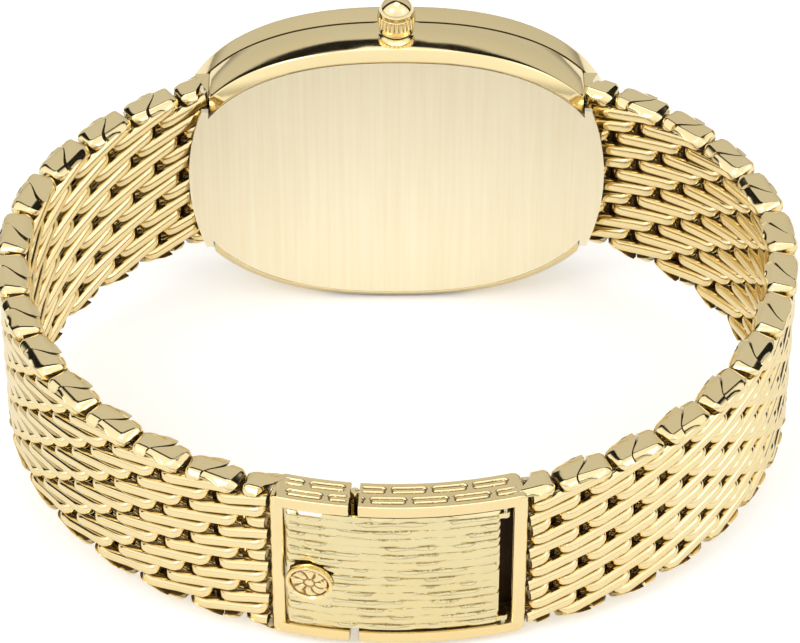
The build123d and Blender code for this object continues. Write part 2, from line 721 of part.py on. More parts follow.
def mainspring_barrel():
    """The toothed drum that holds the mainspring."""
    x, z = BARREL
    level = UPPER_LEVEL
    drum = toothed(BARREL_RADIUS, BARREL_TEETH, level, level + DRUM_THICKNESS, x, z)
    hub = dial_cylinder(ARBOR_RADIUS, level, PLATE_BOTTOM + PIVOT_REACH, x, z)
    return drum.fuse(hub)


def ratchet_wheel():
    """The winding wheel over the barrel."""
    x, z = BARREL
    level = LOWER_LEVEL
    wheel = toothed(RATCHET_RADIUS, RATCHET_TEETH, level, level + WHEEL_THICKNESS, x, z)
    hub = dial_cylinder(ARBOR_RADIUS, BRIDGE_TOP - PIVOT_REACH, level, x, z)
    return wheel.fuse(hub)


def balance_wheel():
    """The balance: a rim, two arms, a staff and a roller."""
    x, z = BALANCE
    low = LOWER_LEVEL
    high = LOWER_LEVEL + WHEEL_THICKNESS
    rim = dial_cylinder(BALANCE_RADIUS, low, high, x, z)
    rim -= dial_cylinder(BALANCE_RADIUS - BALANCE_RIM_WIDTH, low - OVERRUN, high + OVERRUN, x, z)
    arm = dial_bar(2 * BALANCE_RADIUS - BALANCE_RIM_WIDTH, BALANCE_ARM_WIDTH, low, high, 0, 0, x, z)
    roller = dial_cylinder(BALANCE_ROLLER_RADIUS, UPPER_LEVEL, UPPER_LEVEL + WHEEL_THICKNESS, x, z)
    return rim.fuse(arm, roller, arbor(x, z))


def fork_heading():
    """Direction of the fork's lever, from its pivot to the balance staff."""
    return math.degrees(math.atan2(BALANCE[0] - FORK[0], BALANCE[1] - FORK[1]))


def pallet_fork():
    """The lever between the escape wheel and the balance."""
    x, z = FORK
    low = UPPER_LEVEL
    high = UPPER_LEVEL + WHEEL_THICKNESS
    lever = dial_bar(FORK_ARM_LENGTH, FORK_ARM_WIDTH, low, high, FORK_ARM_LENGTH / 2,
                     fork_heading(), x, z)
    pallets = dial_bar(2 * FORK_PALLET_REACH, FORK_PALLET_WIDTH, low, high, 0,
                       fork_heading() + HALF_TURN / 2, x, z)
    return lever.fuse(pallets, arbor(x, z))


def arbor_holes(places):
    """Holes in which the arbors run, through both plates."""
    return [dial_cylinder(ARBOR_RADIUS + ARBOR_GAP, 0, PLATE_TOP + OVERRUN, x, z) for x, z in places]


def main_plate():
    """The plate that carries the train, with the stem's way and the screws' threads."""
    plate = dial_cylinder(PLATE_RADIUS, PLATE_BOTTOM, PLATE_TOP)
    posts = bridge_posts()
    stem_way = stem_cylinder(STEM_RADIUS + STEM_GAP, STEM_INNER_END - STEM_GAP, PLATE_RADIUS + OVERRUN)
    screw_holes = [dial_cylinder(SCREW_RADIUS, BRIDGE_TOP, PLATE_TOP + OVERRUN, x, z)
                   for x, z in ALL_SCREWS]
    return plate.fuse(*posts) - arbor_holes(TRAIN_PLACES + [BALANCE]) - [stem_way] - screw_holes


def bridge_posts():
    """Posts that hold the bridges at their height over the plate."""
    return [dial_cylinder(SCREW_HEAD_RADIUS, BRIDGE_TOP, PLATE_BOTTOM, x, z)
            for x, z in ALL_SCREWS]


def bridge_screw_holes(places):
    """Clearance holes for the bridge screws."""
    return [dial_cylinder(SCREW_RADIUS + ARBOR_GAP, 0, PLATE_BOTTOM, x, z) for x, z in places]


def train_bridge():
    """The bridge over barrel and train, open round the balance out to its edge."""
    disc = dial_cylinder(PLATE_RADIUS - BRIDGE_EDGE_INSET, BRIDGE_BOTTOM, BRIDGE_TOP)
    opening = BALANCE_RADIUS + BALANCE_RIM_WIDTH
    outward = math.degrees(math.atan2(*BALANCE))
    round_room = dial_cylinder(opening, 0, PLATE_TOP, *BALANCE)
    edge_room = dial_bar(2 * opening, 2 * opening, 0, PLATE_TOP, opening, outward, *BALANCE)
    holes = arbor_holes(TRAIN_PLACES) + bridge_screw_holes(TRAIN_SCREWS)
    return disc - [round_room, edge_room] - holes


def balance_cock():
    """The cock over the balance: a bar from its screw to the staff."""
    x, z = BALANCE
    heading = math.degrees(math.atan2(COCK_SCREW[0] - x, COCK_SCREW[1] - z))
    reach = math.dist(BALANCE, COCK_SCREW)
    bar = dial_bar(reach, COCK_WIDTH, BRIDGE_BOTTOM, BRIDGE_TOP, reach / 2, heading, x, z)
    boss = dial_cylinder(COCK_WIDTH / 2, BRIDGE_BOTTOM, BRIDGE_TOP, x, z)
    foot = dial_cylinder(SCREW_HEAD_RADIUS, BRIDGE_BOTTOM, BRIDGE_TOP, *COCK_SCREW)
    return bar.fuse(boss, foot) - arbor_holes([BALANCE]) - bridge_screw_holes([COCK_SCREW])


def slotted_screw(x, z):
    """A screw whose slotted head rests on a bridge."""
    head_low = BRIDGE_BOTTOM - SCREW_HEAD_HEIGHT + SCREW_SLOT_DEPTH
    shank = dial_cylinder(SCREW_RADIUS - ARBOR_GAP, BRIDGE_BOTTOM, PLATE_TOP, x, z)
    head = dial_cylinder(SCREW_HEAD_RADIUS, head_low, BRIDGE_BOTTOM, x, z)
    slot = dial_bar(2 * SCREW_HEAD_RADIUS, SCREW_SLOT_WIDTH, head_low - SCREW_SLOT_DEPTH,
                    head_low + SCREW_SLOT_DEPTH / 2, 0, 0, x, z)
    return shank.fuse(head) - slot


def movement_screws():
    """The screws of both bridges."""
    return Compound([slotted_screw(x, z) for x, z in ALL_SCREWS])


def movement_ring():
    """The oval ring that centres the round movement in the case."""
    low = RING_BOTTOM
    ring = oval_slab(CAVITY_HALF_LENGTH - RING_GAP, CAVITY_HALF_HEIGHT - RING_GAP, low, RING_TOP)
    bore = dial_cylinder(PLATE_RADIUS + BACK_SEAT_GAP, low - OVERRUN, RING_TOP + OVERRUN)
    stem_way = stem_cylinder(STEM_RADIUS + STEM_GAP, PLATE_RADIUS - OVERRUN, CAVITY_HALF_HEIGHT + OVERRUN)
    return ring - [bore, stem_way]


def cannon_pinion():
    """The tube under the minute hand, with its pinion at the plate."""
    top = MINUTE_HAND_BOTTOM + HAND_THICKNESS
    tube = dial_cylinder(CANNON_RADIUS, CANNON_BOTTOM, top)
    pinion = toothed(CANNON_PINION_RADIUS, CANNON_PINION_TEETH, CANNON_BOTTOM,
                     CANNON_BOTTOM + MOTION_GEAR_THICKNESS)
    return tube.fuse(pinion)


def hour_wheel():
    """The hour wheel and the tube that carries the hour hand."""
    top = HOUR_HAND_BOTTOM + HAND_THICKNESS
    wheel = toothed(HOUR_WHEEL_RADIUS, HOUR_WHEEL_TEETH, HOUR_WHEEL_BOTTOM,
                    HOUR_WHEEL_BOTTOM + MOTION_GEAR_THICKNESS)
    tube = dial_cylinder(HOUR_TUBE_RADIUS, HOUR_WHEEL_BOTTOM, top)
    bore = dial_cylinder(HOUR_TUBE_BORE, HOUR_WHEEL_BOTTOM - OVERRUN, top + OVERRUN)
    return wheel.fuse(tube) - bore


# Crown
def stem_cylinder(radius, low, high):
    """A cylinder on the crown's axis between two heights."""
    return Pos(0, BACK_PLANE_Y + CROWN_DEPTH, (low + high) / 2) * Cylinder(radius, high - low)


def winding_stem():
    """The stem from the crown's bore into the plate."""
    return stem_cylinder(STEM_RADIUS, STEM_INNER_END, CROWN_BASE + CROWN_BORE_DEPTH)


def crown():
    """The winding crown: a smooth ring, fine flutes and a domed end, bored for the tube."""
    ring_top = CROWN_BASE + CROWN_RING_HEIGHT
    flute_top = ring_top + CROWN_FLUTE_HEIGHT
    ring = stem_cylinder(CROWN_COLLAR_RADIUS, CROWN_BASE, ring_top)
    points = []
    for flute in range(CROWN_FLUTES):
        for share, reach in ((0, CROWN_RADIUS - CROWN_FLUTE_DEPTH), (TOOTH_TOP_SHARE, CROWN_RADIUS)):
            angle = math.radians(FULL_TURN * (flute + share) / CROWN_FLUTES)
            points.append((reach * math.cos(angle), reach * math.sin(angle)))
    outline = make_face(Polyline(points, close=True))
    place = Pos(0, BACK_PLANE_Y + CROWN_DEPTH, ring_top)
    flutes = place * extrude(outline, amount=CROWN_FLUTE_HEIGHT)
    base_radius = CROWN_RADIUS - CROWN_FLUTE_DEPTH
    dome_radius = (base_radius ** 2 + CROWN_DOME_HEIGHT ** 2) / (2 * CROWN_DOME_HEIGHT)
    ball = Pos(0, BACK_PLANE_Y + CROWN_DEPTH, flute_top + CROWN_DOME_HEIGHT - dome_radius) * Sphere(dome_radius)
    dome = ball & stem_cylinder(base_radius, flute_top, flute_top + CROWN_DOME_HEIGHT)
    bore = stem_cylinder(CROWN_BORE_RADIUS, CROWN_BASE - OVERRUN, CROWN_BASE + CROWN_BORE_DEPTH)
    return ring.fuse(flutes, dome) - bore


def crown_gasket():
    """The sealing ring above the tube inside the crown."""
    low = tube_top() + STEM_GAP / 2
    ring = stem_cylinder(CROWN_BORE_RADIUS - GASKET_GAP, low, low + GASKET_HEIGHT - STEM_GAP)
    return ring - stem_cylinder(STEM_RADIUS + GASKET_GAP, low - OVERRUN, low + OVERRUN)


# Clasp
def clasp_radius():
    """Radius of the clasp's centreline, through the ring's front and both clasp ends."""
    end_y = ring_point(-math.acos(CLASP_HALF_LENGTH / RING_HALF_WIDTH))[1]
    rise = RING_TO_CLASP + end_y
    return (CLASP_HALF_LENGTH ** 2 + rise ** 2) / (2 * rise)


CLASP_RADIUS = clasp_radius()
CLASP_CENTRE_Y = CLASP_RADIUS - RING_TO_CLASP


def clasp_point(x, depth):
    """A point at a depth counted outwards from the clasp's centreline, at a place across it."""
    angle = math.asin(x / CLASP_RADIUS)
    reach = CLASP_RADIUS + depth
    return (reach * math.sin(angle), CLASP_CENTRE_Y - reach * math.cos(angle))


def clasp_angle(x):
    """Turn of the clasp's surface at a place across it, in degrees."""
    return math.degrees(math.asin(x / CLASP_RADIUS))


def clasp_bent(x_low, x_high, depth_in, depth_out, z_low, z_high):
    """A piece of the clasp's bend between two places across it and two depths."""
    middle = (x_low + x_high) / 2
    a_in, a_out = clasp_point(x_low, depth_in), clasp_point(x_low, depth_out)
    b_in, b_out = clasp_point(x_high, depth_in), clasp_point(x_high, depth_out)
    m_in, m_out = clasp_point(middle, depth_in), clasp_point(middle, depth_out)
    edges = [ThreePointArc((*a_in, z_low), (*m_in, z_low), (*b_in, z_low)),
             Line((*b_in, z_low), (*b_out, z_low)),
             ThreePointArc((*b_out, z_low), (*m_out, z_low), (*a_out, z_low)),
             Line((*a_out, z_low), (*a_in, z_low))]
    return extrude(make_face(Curve() + edges), amount=z_high - z_low, dir=(0, 0, 1))


def clasp_cylinder(x, depth, radius, z_low, z_high):
    """A cylinder along Z at a place in the clasp."""
    px, py = clasp_point(x, depth)
    return Pos(px, py, (z_low + z_high) / 2) * Cylinder(radius, z_high - z_low)


def clasp_comb():
    """The ends of the last two rows, which grow out of the clasp's left bar."""
    reach = BAND_LENGTH + END_LINK_GAP
    return [coil_row(row, clip_end=reach) for row in (CELLS_PER_SIDE - 2, CELLS_PER_SIDE - 1)]


def clasp_frame_pieces(bar_low, bar_high, rail_low, rail_high):
    """A bar over the full width and two rails along the clasp's edges."""
    rail_in = CLASP_HALF_WIDTH - CLASP_RAIL_HEIGHT
    return [clasp_bent(bar_low, bar_high, -HALF_BAND, HALF_BAND, -CLASP_HALF_WIDTH, CLASP_HALF_WIDTH),
            clasp_bent(rail_low, rail_high, -HALF_BAND, HALF_BAND, rail_in, CLASP_HALF_WIDTH),
            clasp_bent(rail_low, rail_high, -HALF_BAND, HALF_BAND, -CLASP_HALF_WIDTH, -rail_in)]


def clasp_left_frame():
    """The left frame: its comb, its bar and two short rails."""
    bar_end = -CLASP_HALF_LENGTH + CLASP_BAR_WIDTH
    pieces = clasp_frame_pieces(-CLASP_HALF_LENGTH, bar_end, -CLASP_HALF_LENGTH, LEFT_RAIL_END)
    frame = pieces[0].fuse(*pieces[1:], *clasp_comb())
    return Compound([frame, row_pin(CELLS_PER_SIDE - 1)])


def clasp_right_frame():
    """The right frame: its comb, bar and long rails, the leaf's knuckles and the web behind the slot."""
    bar_end = CLASP_HALF_LENGTH - CLASP_BAR_WIDTH
    pieces = clasp_frame_pieces(bar_end, CLASP_HALF_LENGTH, RIGHT_RAIL_END, CLASP_HALF_LENGTH)
    rail_in = CLASP_HALF_WIDTH - CLASP_RAIL_HEIGHT
    knuckles = []
    for side in (1, -1):
        low, high = sorted((side * rail_in, side * CLASP_HALF_WIDTH))
        knuckles.append(clasp_cylinder(MIDDLE_PIVOT_X, MIDDLE_LEAF_DEPTH, KNUCKLE_RADIUS, low, high))
        knuckles.append(clasp_bent(MIDDLE_PIVOT_X, RIGHT_RAIL_END, MIDDLE_LEAF_DEPTH - KNUCKLE_RADIUS / 2,
                                   MIDDLE_LEAF_DEPTH + KNUCKLE_RADIUS / 2, low, high))
    web = clasp_bent(SLOT_WEB_X, bar_end, -HALF_BAND, SLOT_WEB_THICKNESS - HALF_BAND, -rail_in, rail_in)
    comb = [other_side(row) for row in clasp_comb()]
    frame = pieces[0].fuse(*pieces[1:], web, *knuckles, *comb) - clasp_pin_holes()
    return Compound([frame, other_side(row_pin(CELLS_PER_SIDE - 1))])


def rail_pin_spans(inner_end):
    """Height ranges of the short pins in the two rails."""
    outer_end = CLASP_HALF_WIDTH - CLASP_PIN_COVERING
    return ((inner_end, outer_end), (-outer_end, -inner_end))


def clasp_pin_holes():
    """Blind holes in the rails for the short hinge pins."""
    inner = CLASP_HALF_WIDTH - CLASP_RAIL_HEIGHT - OVERRUN
    holes = []
    for low, high in rail_pin_spans(inner):
        holes.append(clasp_cylinder(MIDDLE_PIVOT_X, MIDDLE_LEAF_DEPTH, CLASP_PIN_RADIUS, low, high))
        holes.append(clasp_cylinder(COVER_PIVOT_X, cover_depth(), CLASP_PIN_RADIUS, low, high))
    return holes


def cover_depth():
    """Depth of the cover's hinge, whose barrel is flush with the outside."""
    return HALF_BAND - COVER_BARREL_RADIUS


def clasp_pins():
    """Four short pins: two for the cover and two for the middle leaf."""
    inner = COVER_HALF_HEIGHT - COVER_EAR_HEIGHT
    pins = []
    for low, high in rail_pin_spans(inner):
        pins.append(clasp_cylinder(MIDDLE_PIVOT_X, MIDDLE_LEAF_DEPTH, CLASP_PIN_RADIUS, low, high))
        pins.append(clasp_cylinder(COVER_PIVOT_X, cover_depth(), CLASP_PIN_RADIUS, low, high))
    return Compound(pins)


def cover_corner_cut():
    """The wedge cut from the cover's upper edge, deepest at its free end."""
    points = [(COVER_CORNER_X, COVER_HALF_HEIGHT), (COVER_LEFT, COVER_HALF_HEIGHT - COVER_CORNER_DROP),
              (COVER_LEFT - OVERRUN, COVER_HALF_HEIGHT - COVER_CORNER_DROP),
              (COVER_LEFT - OVERRUN, COVER_HALF_HEIGHT + OVERRUN), (COVER_CORNER_X, COVER_HALF_HEIGHT + OVERRUN)]
    outline = Polyline([(x, -RING_TO_CLASP - OVERRUN - HALF_BAND, z) for x, z in points], close=True)
    return extrude(make_face(outline), amount=RING_TO_CLASP, dir=(0, 1, 0))


def clasp_cover():
    """The curved cover plate with a barrel at each end of its hinge."""
    depth_in = HALF_BAND - COVER_THICKNESS
    plate = clasp_bent(COVER_LEFT, COVER_RIGHT, depth_in, HALF_BAND, -COVER_HALF_HEIGHT, COVER_HALF_HEIGHT)
    plate -= cover_corner_cut()
    pieces = []
    for side in (1, -1):
        low, high = sorted((side * (COVER_HALF_HEIGHT - COVER_EAR_HEIGHT), side * COVER_HALF_HEIGHT))
        pieces.append(clasp_cylinder(COVER_PIVOT_X, cover_depth(), COVER_BARREL_RADIUS, low, high))
        pieces.append(clasp_bent(COVER_RIGHT - COVER_THICKNESS, COVER_PIVOT_X, depth_in, HALF_BAND, low, high))
    bore = clasp_cylinder(COVER_PIVOT_X, cover_depth(), CLASP_PIN_RADIUS + CLASP_PIN_GAP,
                          -COVER_HALF_HEIGHT - OVERRUN, COVER_HALF_HEIGHT + OVERRUN)
    return plate.fuse(*pieces) - bore


def emblem_place():
    """Plane square to the cover at the emblem, whose normal points outwards."""
    px, py = clasp_point(EMBLEM_X, HALF_BAND)
    return Pos(px, py, EMBLEM_Z) * Rot(0, 0, clasp_angle(EMBLEM_X)) * Rot(HALF_TURN / 2, 0, 0)


def clasp_emblem():
    """The round thumb boss: a rim round a plain ring of petals."""
    base = Pos(0, 0, EMBLEM_HEIGHT / 4) * Cylinder(EMBLEM_RADIUS, EMBLEM_HEIGHT / 2)
    rim_height = EMBLEM_HEIGHT / 2
    rim = Cylinder(EMBLEM_RADIUS, rim_height) - Cylinder(EMBLEM_RADIUS - EMBLEM_RIM, rim_height)
    rim = Pos(0, 0, rim_height + rim_height / 2) * rim
    petals = []
    for step in range(EMBLEM_PETALS):
        turn_to = Rot(0, 0, FULL_TURN * step / EMBLEM_PETALS)
        petal = Pos(EMBLEM_PETAL_RING, 0, rim_height + EMBLEM_RELIEF / 2)
        petals.append(turn_to * petal * Cylinder(EMBLEM_PETAL_RADIUS, EMBLEM_RELIEF))
    heart = Pos(0, 0, rim_height + EMBLEM_RELIEF / 2) * Cylinder(EMBLEM_PETAL_RADIUS, EMBLEM_RELIEF)
    return emblem_place() * Pos(0, 0, EMBLEM_SEAT_GAP) * base.fuse(rim, heart, *petals)


def leaf(x_low, x_high, depth, half_height):
    """A thin plate bent round the ring."""
    return clasp_bent(x_low, x_high, depth - LEAF_THICKNESS / 2, depth + LEAF_THICKNESS / 2,
                      -half_height, half_height)


def leaf_half_height():
    """Half the leaves' height, which leaves them free between the rails."""
    return CLASP_HALF_WIDTH - CLASP_RAIL_HEIGHT - LEAF_SIDE_GAP


def far_barrel_half():
    """Half the height of the middle leaf's barrel at its far hinge."""
    return leaf_half_height() / 2


def clasp_middle_leaf():
    """The leaf that swings inwards from the right frame, with its far barrel and pin."""
    half = leaf_half_height()
    bore_radius = CLASP_PIN_RADIUS + CLASP_PIN_GAP
    plate = leaf(MIDDLE_PIVOT_X, FAR_PIVOT_X, MIDDLE_LEAF_DEPTH, half)
    near = clasp_cylinder(MIDDLE_PIVOT_X, MIDDLE_LEAF_DEPTH, KNUCKLE_RADIUS, -half, half)
    far_cut = clasp_cylinder(FAR_PIVOT_X, far_pivot_depth(), KNUCKLE_RADIUS + LEAF_SIDE_GAP,
                             -half - OVERRUN, half + OVERRUN)
    barrel_half = far_barrel_half()
    barrel = clasp_cylinder(FAR_PIVOT_X, far_pivot_depth(), KNUCKLE_RADIUS, -barrel_half, barrel_half)
    pin = clasp_cylinder(FAR_PIVOT_X, far_pivot_depth(), CLASP_PIN_RADIUS, -half, half)
    link = clasp_bent(FAR_PIVOT_X - 2 * KNUCKLE_RADIUS, FAR_PIVOT_X, MIDDLE_LEAF_DEPTH - LEAF_THICKNESS / 2,
                      MIDDLE_LEAF_DEPTH + LEAF_THICKNESS / 2, -barrel_half, barrel_half)
    bore = clasp_cylinder(MIDDLE_PIVOT_X, MIDDLE_LEAF_DEPTH, bore_radius, -half - OVERRUN, half + OVERRUN)
    return (plate - far_cut).fuse(near, barrel, pin, link) - bore


def far_pivot_depth():
    """Depth of the hinge between the two leaves, midway between them."""
    return (MIDDLE_LEAF_DEPTH + INNER_LEAF_DEPTH) / 2


def clasp_inner_leaf():
    """The leaf that runs back under the others to the left frame, with its free pivot bar."""
    half = leaf_half_height()
    bore_radius = CLASP_PIN_RADIUS + CLASP_PIN_GAP
    tongue = leaf(INNER_LEAF_LEFT, LEAF_TONGUE_X, INNER_LEAF_DEPTH, LEAF_TONGUE_HALF_HEIGHT)
    plate = leaf(LEAF_TONGUE_X, FAR_PIVOT_X, INNER_LEAF_DEPTH, half)
    cut_half = far_barrel_half() + LEAF_SIDE_GAP
    barrel_room = clasp_cylinder(FAR_PIVOT_X, far_pivot_depth(), KNUCKLE_RADIUS + LEAF_SIDE_GAP,
                                 -cut_half, cut_half)
    knuckles = []
    for side in (1, -1):
        low, high = sorted((side * cut_half, side * half))
        knuckles.append(clasp_cylinder(FAR_PIVOT_X, far_pivot_depth(), KNUCKLE_RADIUS, low, high))
    stub = clasp_cylinder(INNER_LEAF_LEFT, INNER_LEAF_DEPTH, OPEN_STUB_RADIUS,
                          -LEAF_TONGUE_HALF_HEIGHT, LEAF_TONGUE_HALF_HEIGHT)
    bore = clasp_cylinder(FAR_PIVOT_X, far_pivot_depth(), bore_radius, -half - OVERRUN, half + OVERRUN)
    return (plate - barrel_room).fuse(tongue, stub, *knuckles) - bore


# Fastening of the bracelet
def end_link():
    """The left end link: a wedge against the case that carries the ends of two rows."""
    rows = [coil_row(-2, clip_start=0), coil_row(-1, clip_start=0)]
    normal = math.radians(row_heading(-1) - HALF_TURN / 2)
    start_x, start_y = PINS[0]
    outer = (start_x + HALF_BAND * math.cos(normal), start_y + HALF_BAND * math.sin(normal))
    inner = (start_x - HALF_BAND * math.cos(normal), start_y - HALF_BAND * math.sin(normal))
    face_x = -CASE_END_X - END_LINK_GAP
    top_y = BACK_PLANE_Y + MIDDLE_TOP - END_LINK_GAP
    low_y = min(inner[1], top_y)
    z = half_width(0)
    outline = Polyline([(face_x, low_y, -z), (face_x, top_y, -z), (outer[0], min(outer[1], top_y), -z),
                        (min(inner[0], face_x), inner[1], -z)], close=True)
    wedge = extrude(make_face(outline), amount=2 * z, dir=(0, 0, 1))
    threads = lug_screw_holes(LUG_SCREW_RADIUS, CASE_END_X, CASE_END_X + LUG_SCREW_LENGTH)
    case_room = depth_box(face_x, 0, -OVERRUN, MIDDLE_TOP + OVERRUN, -BAND_WIDTH_AT_CASE, BAND_WIDTH_AT_CASE)
    bezel_room = depth_box(-MIDDLE_HALF_LENGTH - OVERRUN, 0, MIDDLE_TOP - END_LINK_GAP,
                           MIDDLE_TOP + 2 * OVERRUN, -BAND_WIDTH_AT_CASE, BAND_WIDTH_AT_CASE)
    back_room = depth_box(-BACK_HALF_LENGTH - END_LINK_GAP, 0, -OVERRUN, EAR_THICKNESS + END_LINK_GAP,
                          -BAND_WIDTH_AT_CASE, BAND_WIDTH_AT_CASE)
    return wedge.fuse(*rows) - [case_room, bezel_room, back_room] - threads


def lug_screws():
    """Four screws from inside the case into the end links."""
    heads = lug_screw_holes(LUG_SCREW_HEAD_RADIUS, CAVITY_HALF_LENGTH - LUG_SCREW_HEAD_HEIGHT,
                            CAVITY_HALF_LENGTH)
    shanks = lug_screw_holes(LUG_SCREW_RADIUS, CAVITY_HALF_LENGTH - LUG_SCREW_HEAD_HEIGHT,
                             CASE_END_X + LUG_SCREW_LENGTH - END_LINK_GAP)
    return Compound([head.fuse(shank) for head, shank in zip(heads, shanks)])


# Assembly
def watch_nodes():
    """Every node by name, in the working axes."""
    nodes = {
        "case_middle": case_middle(),
        "case_back": case_back(),
        "bezel": bezel(),
        "crystal": crystal(),
        "dial": dial(),
        "hour_markers": hour_markers(),
        "hour_hand": hour_hand(),
        "minute_hand": minute_hand(),
        "cannon_pinion": cannon_pinion(),
        "hour_wheel": hour_wheel(),
        "movement_ring": movement_ring(),
        "main_plate": main_plate(),
        "train_bridge": train_bridge(),
        "balance_cock": balance_cock(),
        "mainspring_barrel": mainspring_barrel(),
        "ratchet_wheel": ratchet_wheel(),
        "center_wheel": center_wheel(),
        "third_wheel": third_wheel(),
        "fourth_wheel": fourth_wheel(),
        "escape_wheel": escape_wheel(),
        "pallet_fork": pallet_fork(),
        "balance_wheel": balance_wheel(),
        "movement_screws": movement_screws(),
        "winding_stem": winding_stem(),
        "crown": crown(),
        "crown_gasket": crown_gasket(),
        "end_link_left": end_link(),
        "end_link_right": other_side(end_link()),
        "lug_screws": lug_screws(),
        "clasp_left_frame": clasp_left_frame(),
        "clasp_right_frame": clasp_right_frame(),
        "clasp_pins": clasp_pins(),
        "clasp_cover": clasp_cover(),
        "clasp_emblem": clasp_emblem(),
        "clasp_middle_leaf": clasp_middle_leaf(),
        "clasp_inner_leaf": clasp_inner_leaf(),
    }
    for index in range(BODIES_PER_SIDE):
        body = bracelet_body(index)
        nodes[f"left_rows_{index + 1:02d}"] = body
        nodes[f"right_rows_{index + 1:02d}"] = other_side(body)
    return nodes


def lean_angle():
    """Lean that lets the case's and the clasp's lower edges stand on one plane."""
    drop = MIDDLE_HALF_HEIGHT + BEZEL_BULGE - CLASP_HALF_WIDTH
    run = BACK_PLANE_Y + BEZEL_SHOULDER - clasp_point(0, HALF_BAND)[1]
    return math.degrees(math.atan2(drop, run))


def resting_place(nodes):
    """The move that leans the watch and puts the middle of its footprint at the origin."""
    lean = Rot(lean_angle(), 0, 0)
    boxes = [(lean * node).bounding_box() for node in nodes.values()]
    low = [min(getattr(box.min, axis) for box in boxes) for axis in "XYZ"]
    high = [max(getattr(box.max, axis) for box in boxes) for axis in "XYZ"]
    return Pos(-(low[0] + high[0]) / 2, -(low[1] + high[1]) / 2, -low[2]) * lean


NODES = watch_nodes()
REST = resting_place(NODES)
os.makedirs("parts", exist_ok=True)
for name, shape in NODES.items():
    export_step(REST * shape, f"parts/{name}.step")
print(f"pitch {PITCH:.3f}, lean {lean_angle():.2f} degrees, nodes {len(NODES)}")
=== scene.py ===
"""An oval gold wristwatch on a woven coil bracelet, closed and standing on its edge.

Working axes of the formulas, in millimetres: X along the case's long axis, Y away from the clasp
towards the dial, Z along the crown. rest() leans them and turns them into metres.
"""
import json
import math

import bpy
import numpy as np
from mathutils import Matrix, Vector


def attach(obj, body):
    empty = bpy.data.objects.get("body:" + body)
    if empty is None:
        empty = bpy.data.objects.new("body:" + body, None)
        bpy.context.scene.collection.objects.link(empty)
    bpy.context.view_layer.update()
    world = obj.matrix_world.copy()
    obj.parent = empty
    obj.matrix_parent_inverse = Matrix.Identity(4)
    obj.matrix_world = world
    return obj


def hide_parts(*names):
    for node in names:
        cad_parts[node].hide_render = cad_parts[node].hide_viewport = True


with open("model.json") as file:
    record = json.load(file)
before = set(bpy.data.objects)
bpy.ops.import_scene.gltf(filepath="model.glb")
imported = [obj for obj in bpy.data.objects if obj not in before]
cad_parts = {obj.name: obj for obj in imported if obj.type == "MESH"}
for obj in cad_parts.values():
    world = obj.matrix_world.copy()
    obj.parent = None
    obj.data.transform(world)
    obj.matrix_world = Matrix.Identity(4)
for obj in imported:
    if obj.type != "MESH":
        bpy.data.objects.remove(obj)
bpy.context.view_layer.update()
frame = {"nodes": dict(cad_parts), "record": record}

# Frame of the working axes, read from the mount on the case's back
MM = 0.001
BACK_PLANE_Y = 15.4
back_face = frame["record"]["mounts"][0]
OUTWARD = -np.array(back_face["axis"])
LEAN = math.atan2(OUTWARD[2], OUTWARD[1])
ORIGIN = np.array(back_face["pos_m"]) - BACK_PLANE_Y * MM * OUTWARD

# Camera
CAMERA_RISE = math.radians(44.6) - LEAN
CAMERA_DISTANCE = 0.330
CAMERA_LENS = 197.6
CAMERA_TURN = math.radians(0.25)
LOOK_POINT = (0.20, -0.24, 0.0)

# Ring: a half ellipse of pins on each side, with one weave cell between two pins
RING_HALF_WIDTH = 28.4
BAND_START_Y = 17.8744
RING_TO_CLASP = 24.85
RING_STEPS = 2000
CELLS = 26
CELLS_PER_ROW = 3
BODIES = 12
HALF_BAND = 1.2
WIDTH_AT_CASE = 15.8
WIDTH_AT_CLASP = 14.2
FIRST_PIN_STANDOFF = 0.6
PIN_RADIUS = 0.28
PIN_END_GAP = 0.12

# Strands: levels count the weave's heights, RIM_LEVEL at the rim
RUNS = 8
RIM_LEVEL = 25 / 6
STRAND_HALF_LEVEL = 1 / 3
STRAND_HALF_DEPTH = 0.45
STRAND_GAP = 0.16
STRAND_POWER = 2.2
TURN_POWER = 3.2
ROW_END_GAP = 0.38

# Rim blocks
RIM_SEAM_GAP = 0.2
RIM_TIP_GAP = 0.28
RIM_TIP_CORNER = 0.65
RIM_BEVEL = 0.45
BEVEL_OUTER = 0.55
BEVEL_INNER = 0.6
EDGE_POWER = 1.3
EDGE_STEPS = np.array([0.05, 0.16, 0.36, 0.6, 0.85, 1])
SEAM_SWING = 0.75
SEAM_REACH = 0.95
TIP_ROUNDING = 0.3
TIP_SHARE = 0.78
LEAST_BLOCK = 0.03

# Case
OVAL_POWER = 2.35
CASE_END_X = 14.4
CROWN_DEPTH = 2.6
LUG_FACET_INSET = 1.1
LUG_FACET_DEPTH = 0.6
WALL_LOW = 0.56
CASE_SPLIT = 3.6
WALL_BULGE = 0.19
END_LINK_GAP = 0.03
END_LINK_LOW = 0.45
END_LINK_CORNER = 0.1

# Crown
FLUTES = 26
FLUTE_DEPTH = 0.13
FLUTE_LOW = 13.95
FLUTE_HIGH = 14.92
FLUTE_FADE = 0.08
DOME_RADIUS = 1.34
DOME_HEIGHT = 1.28

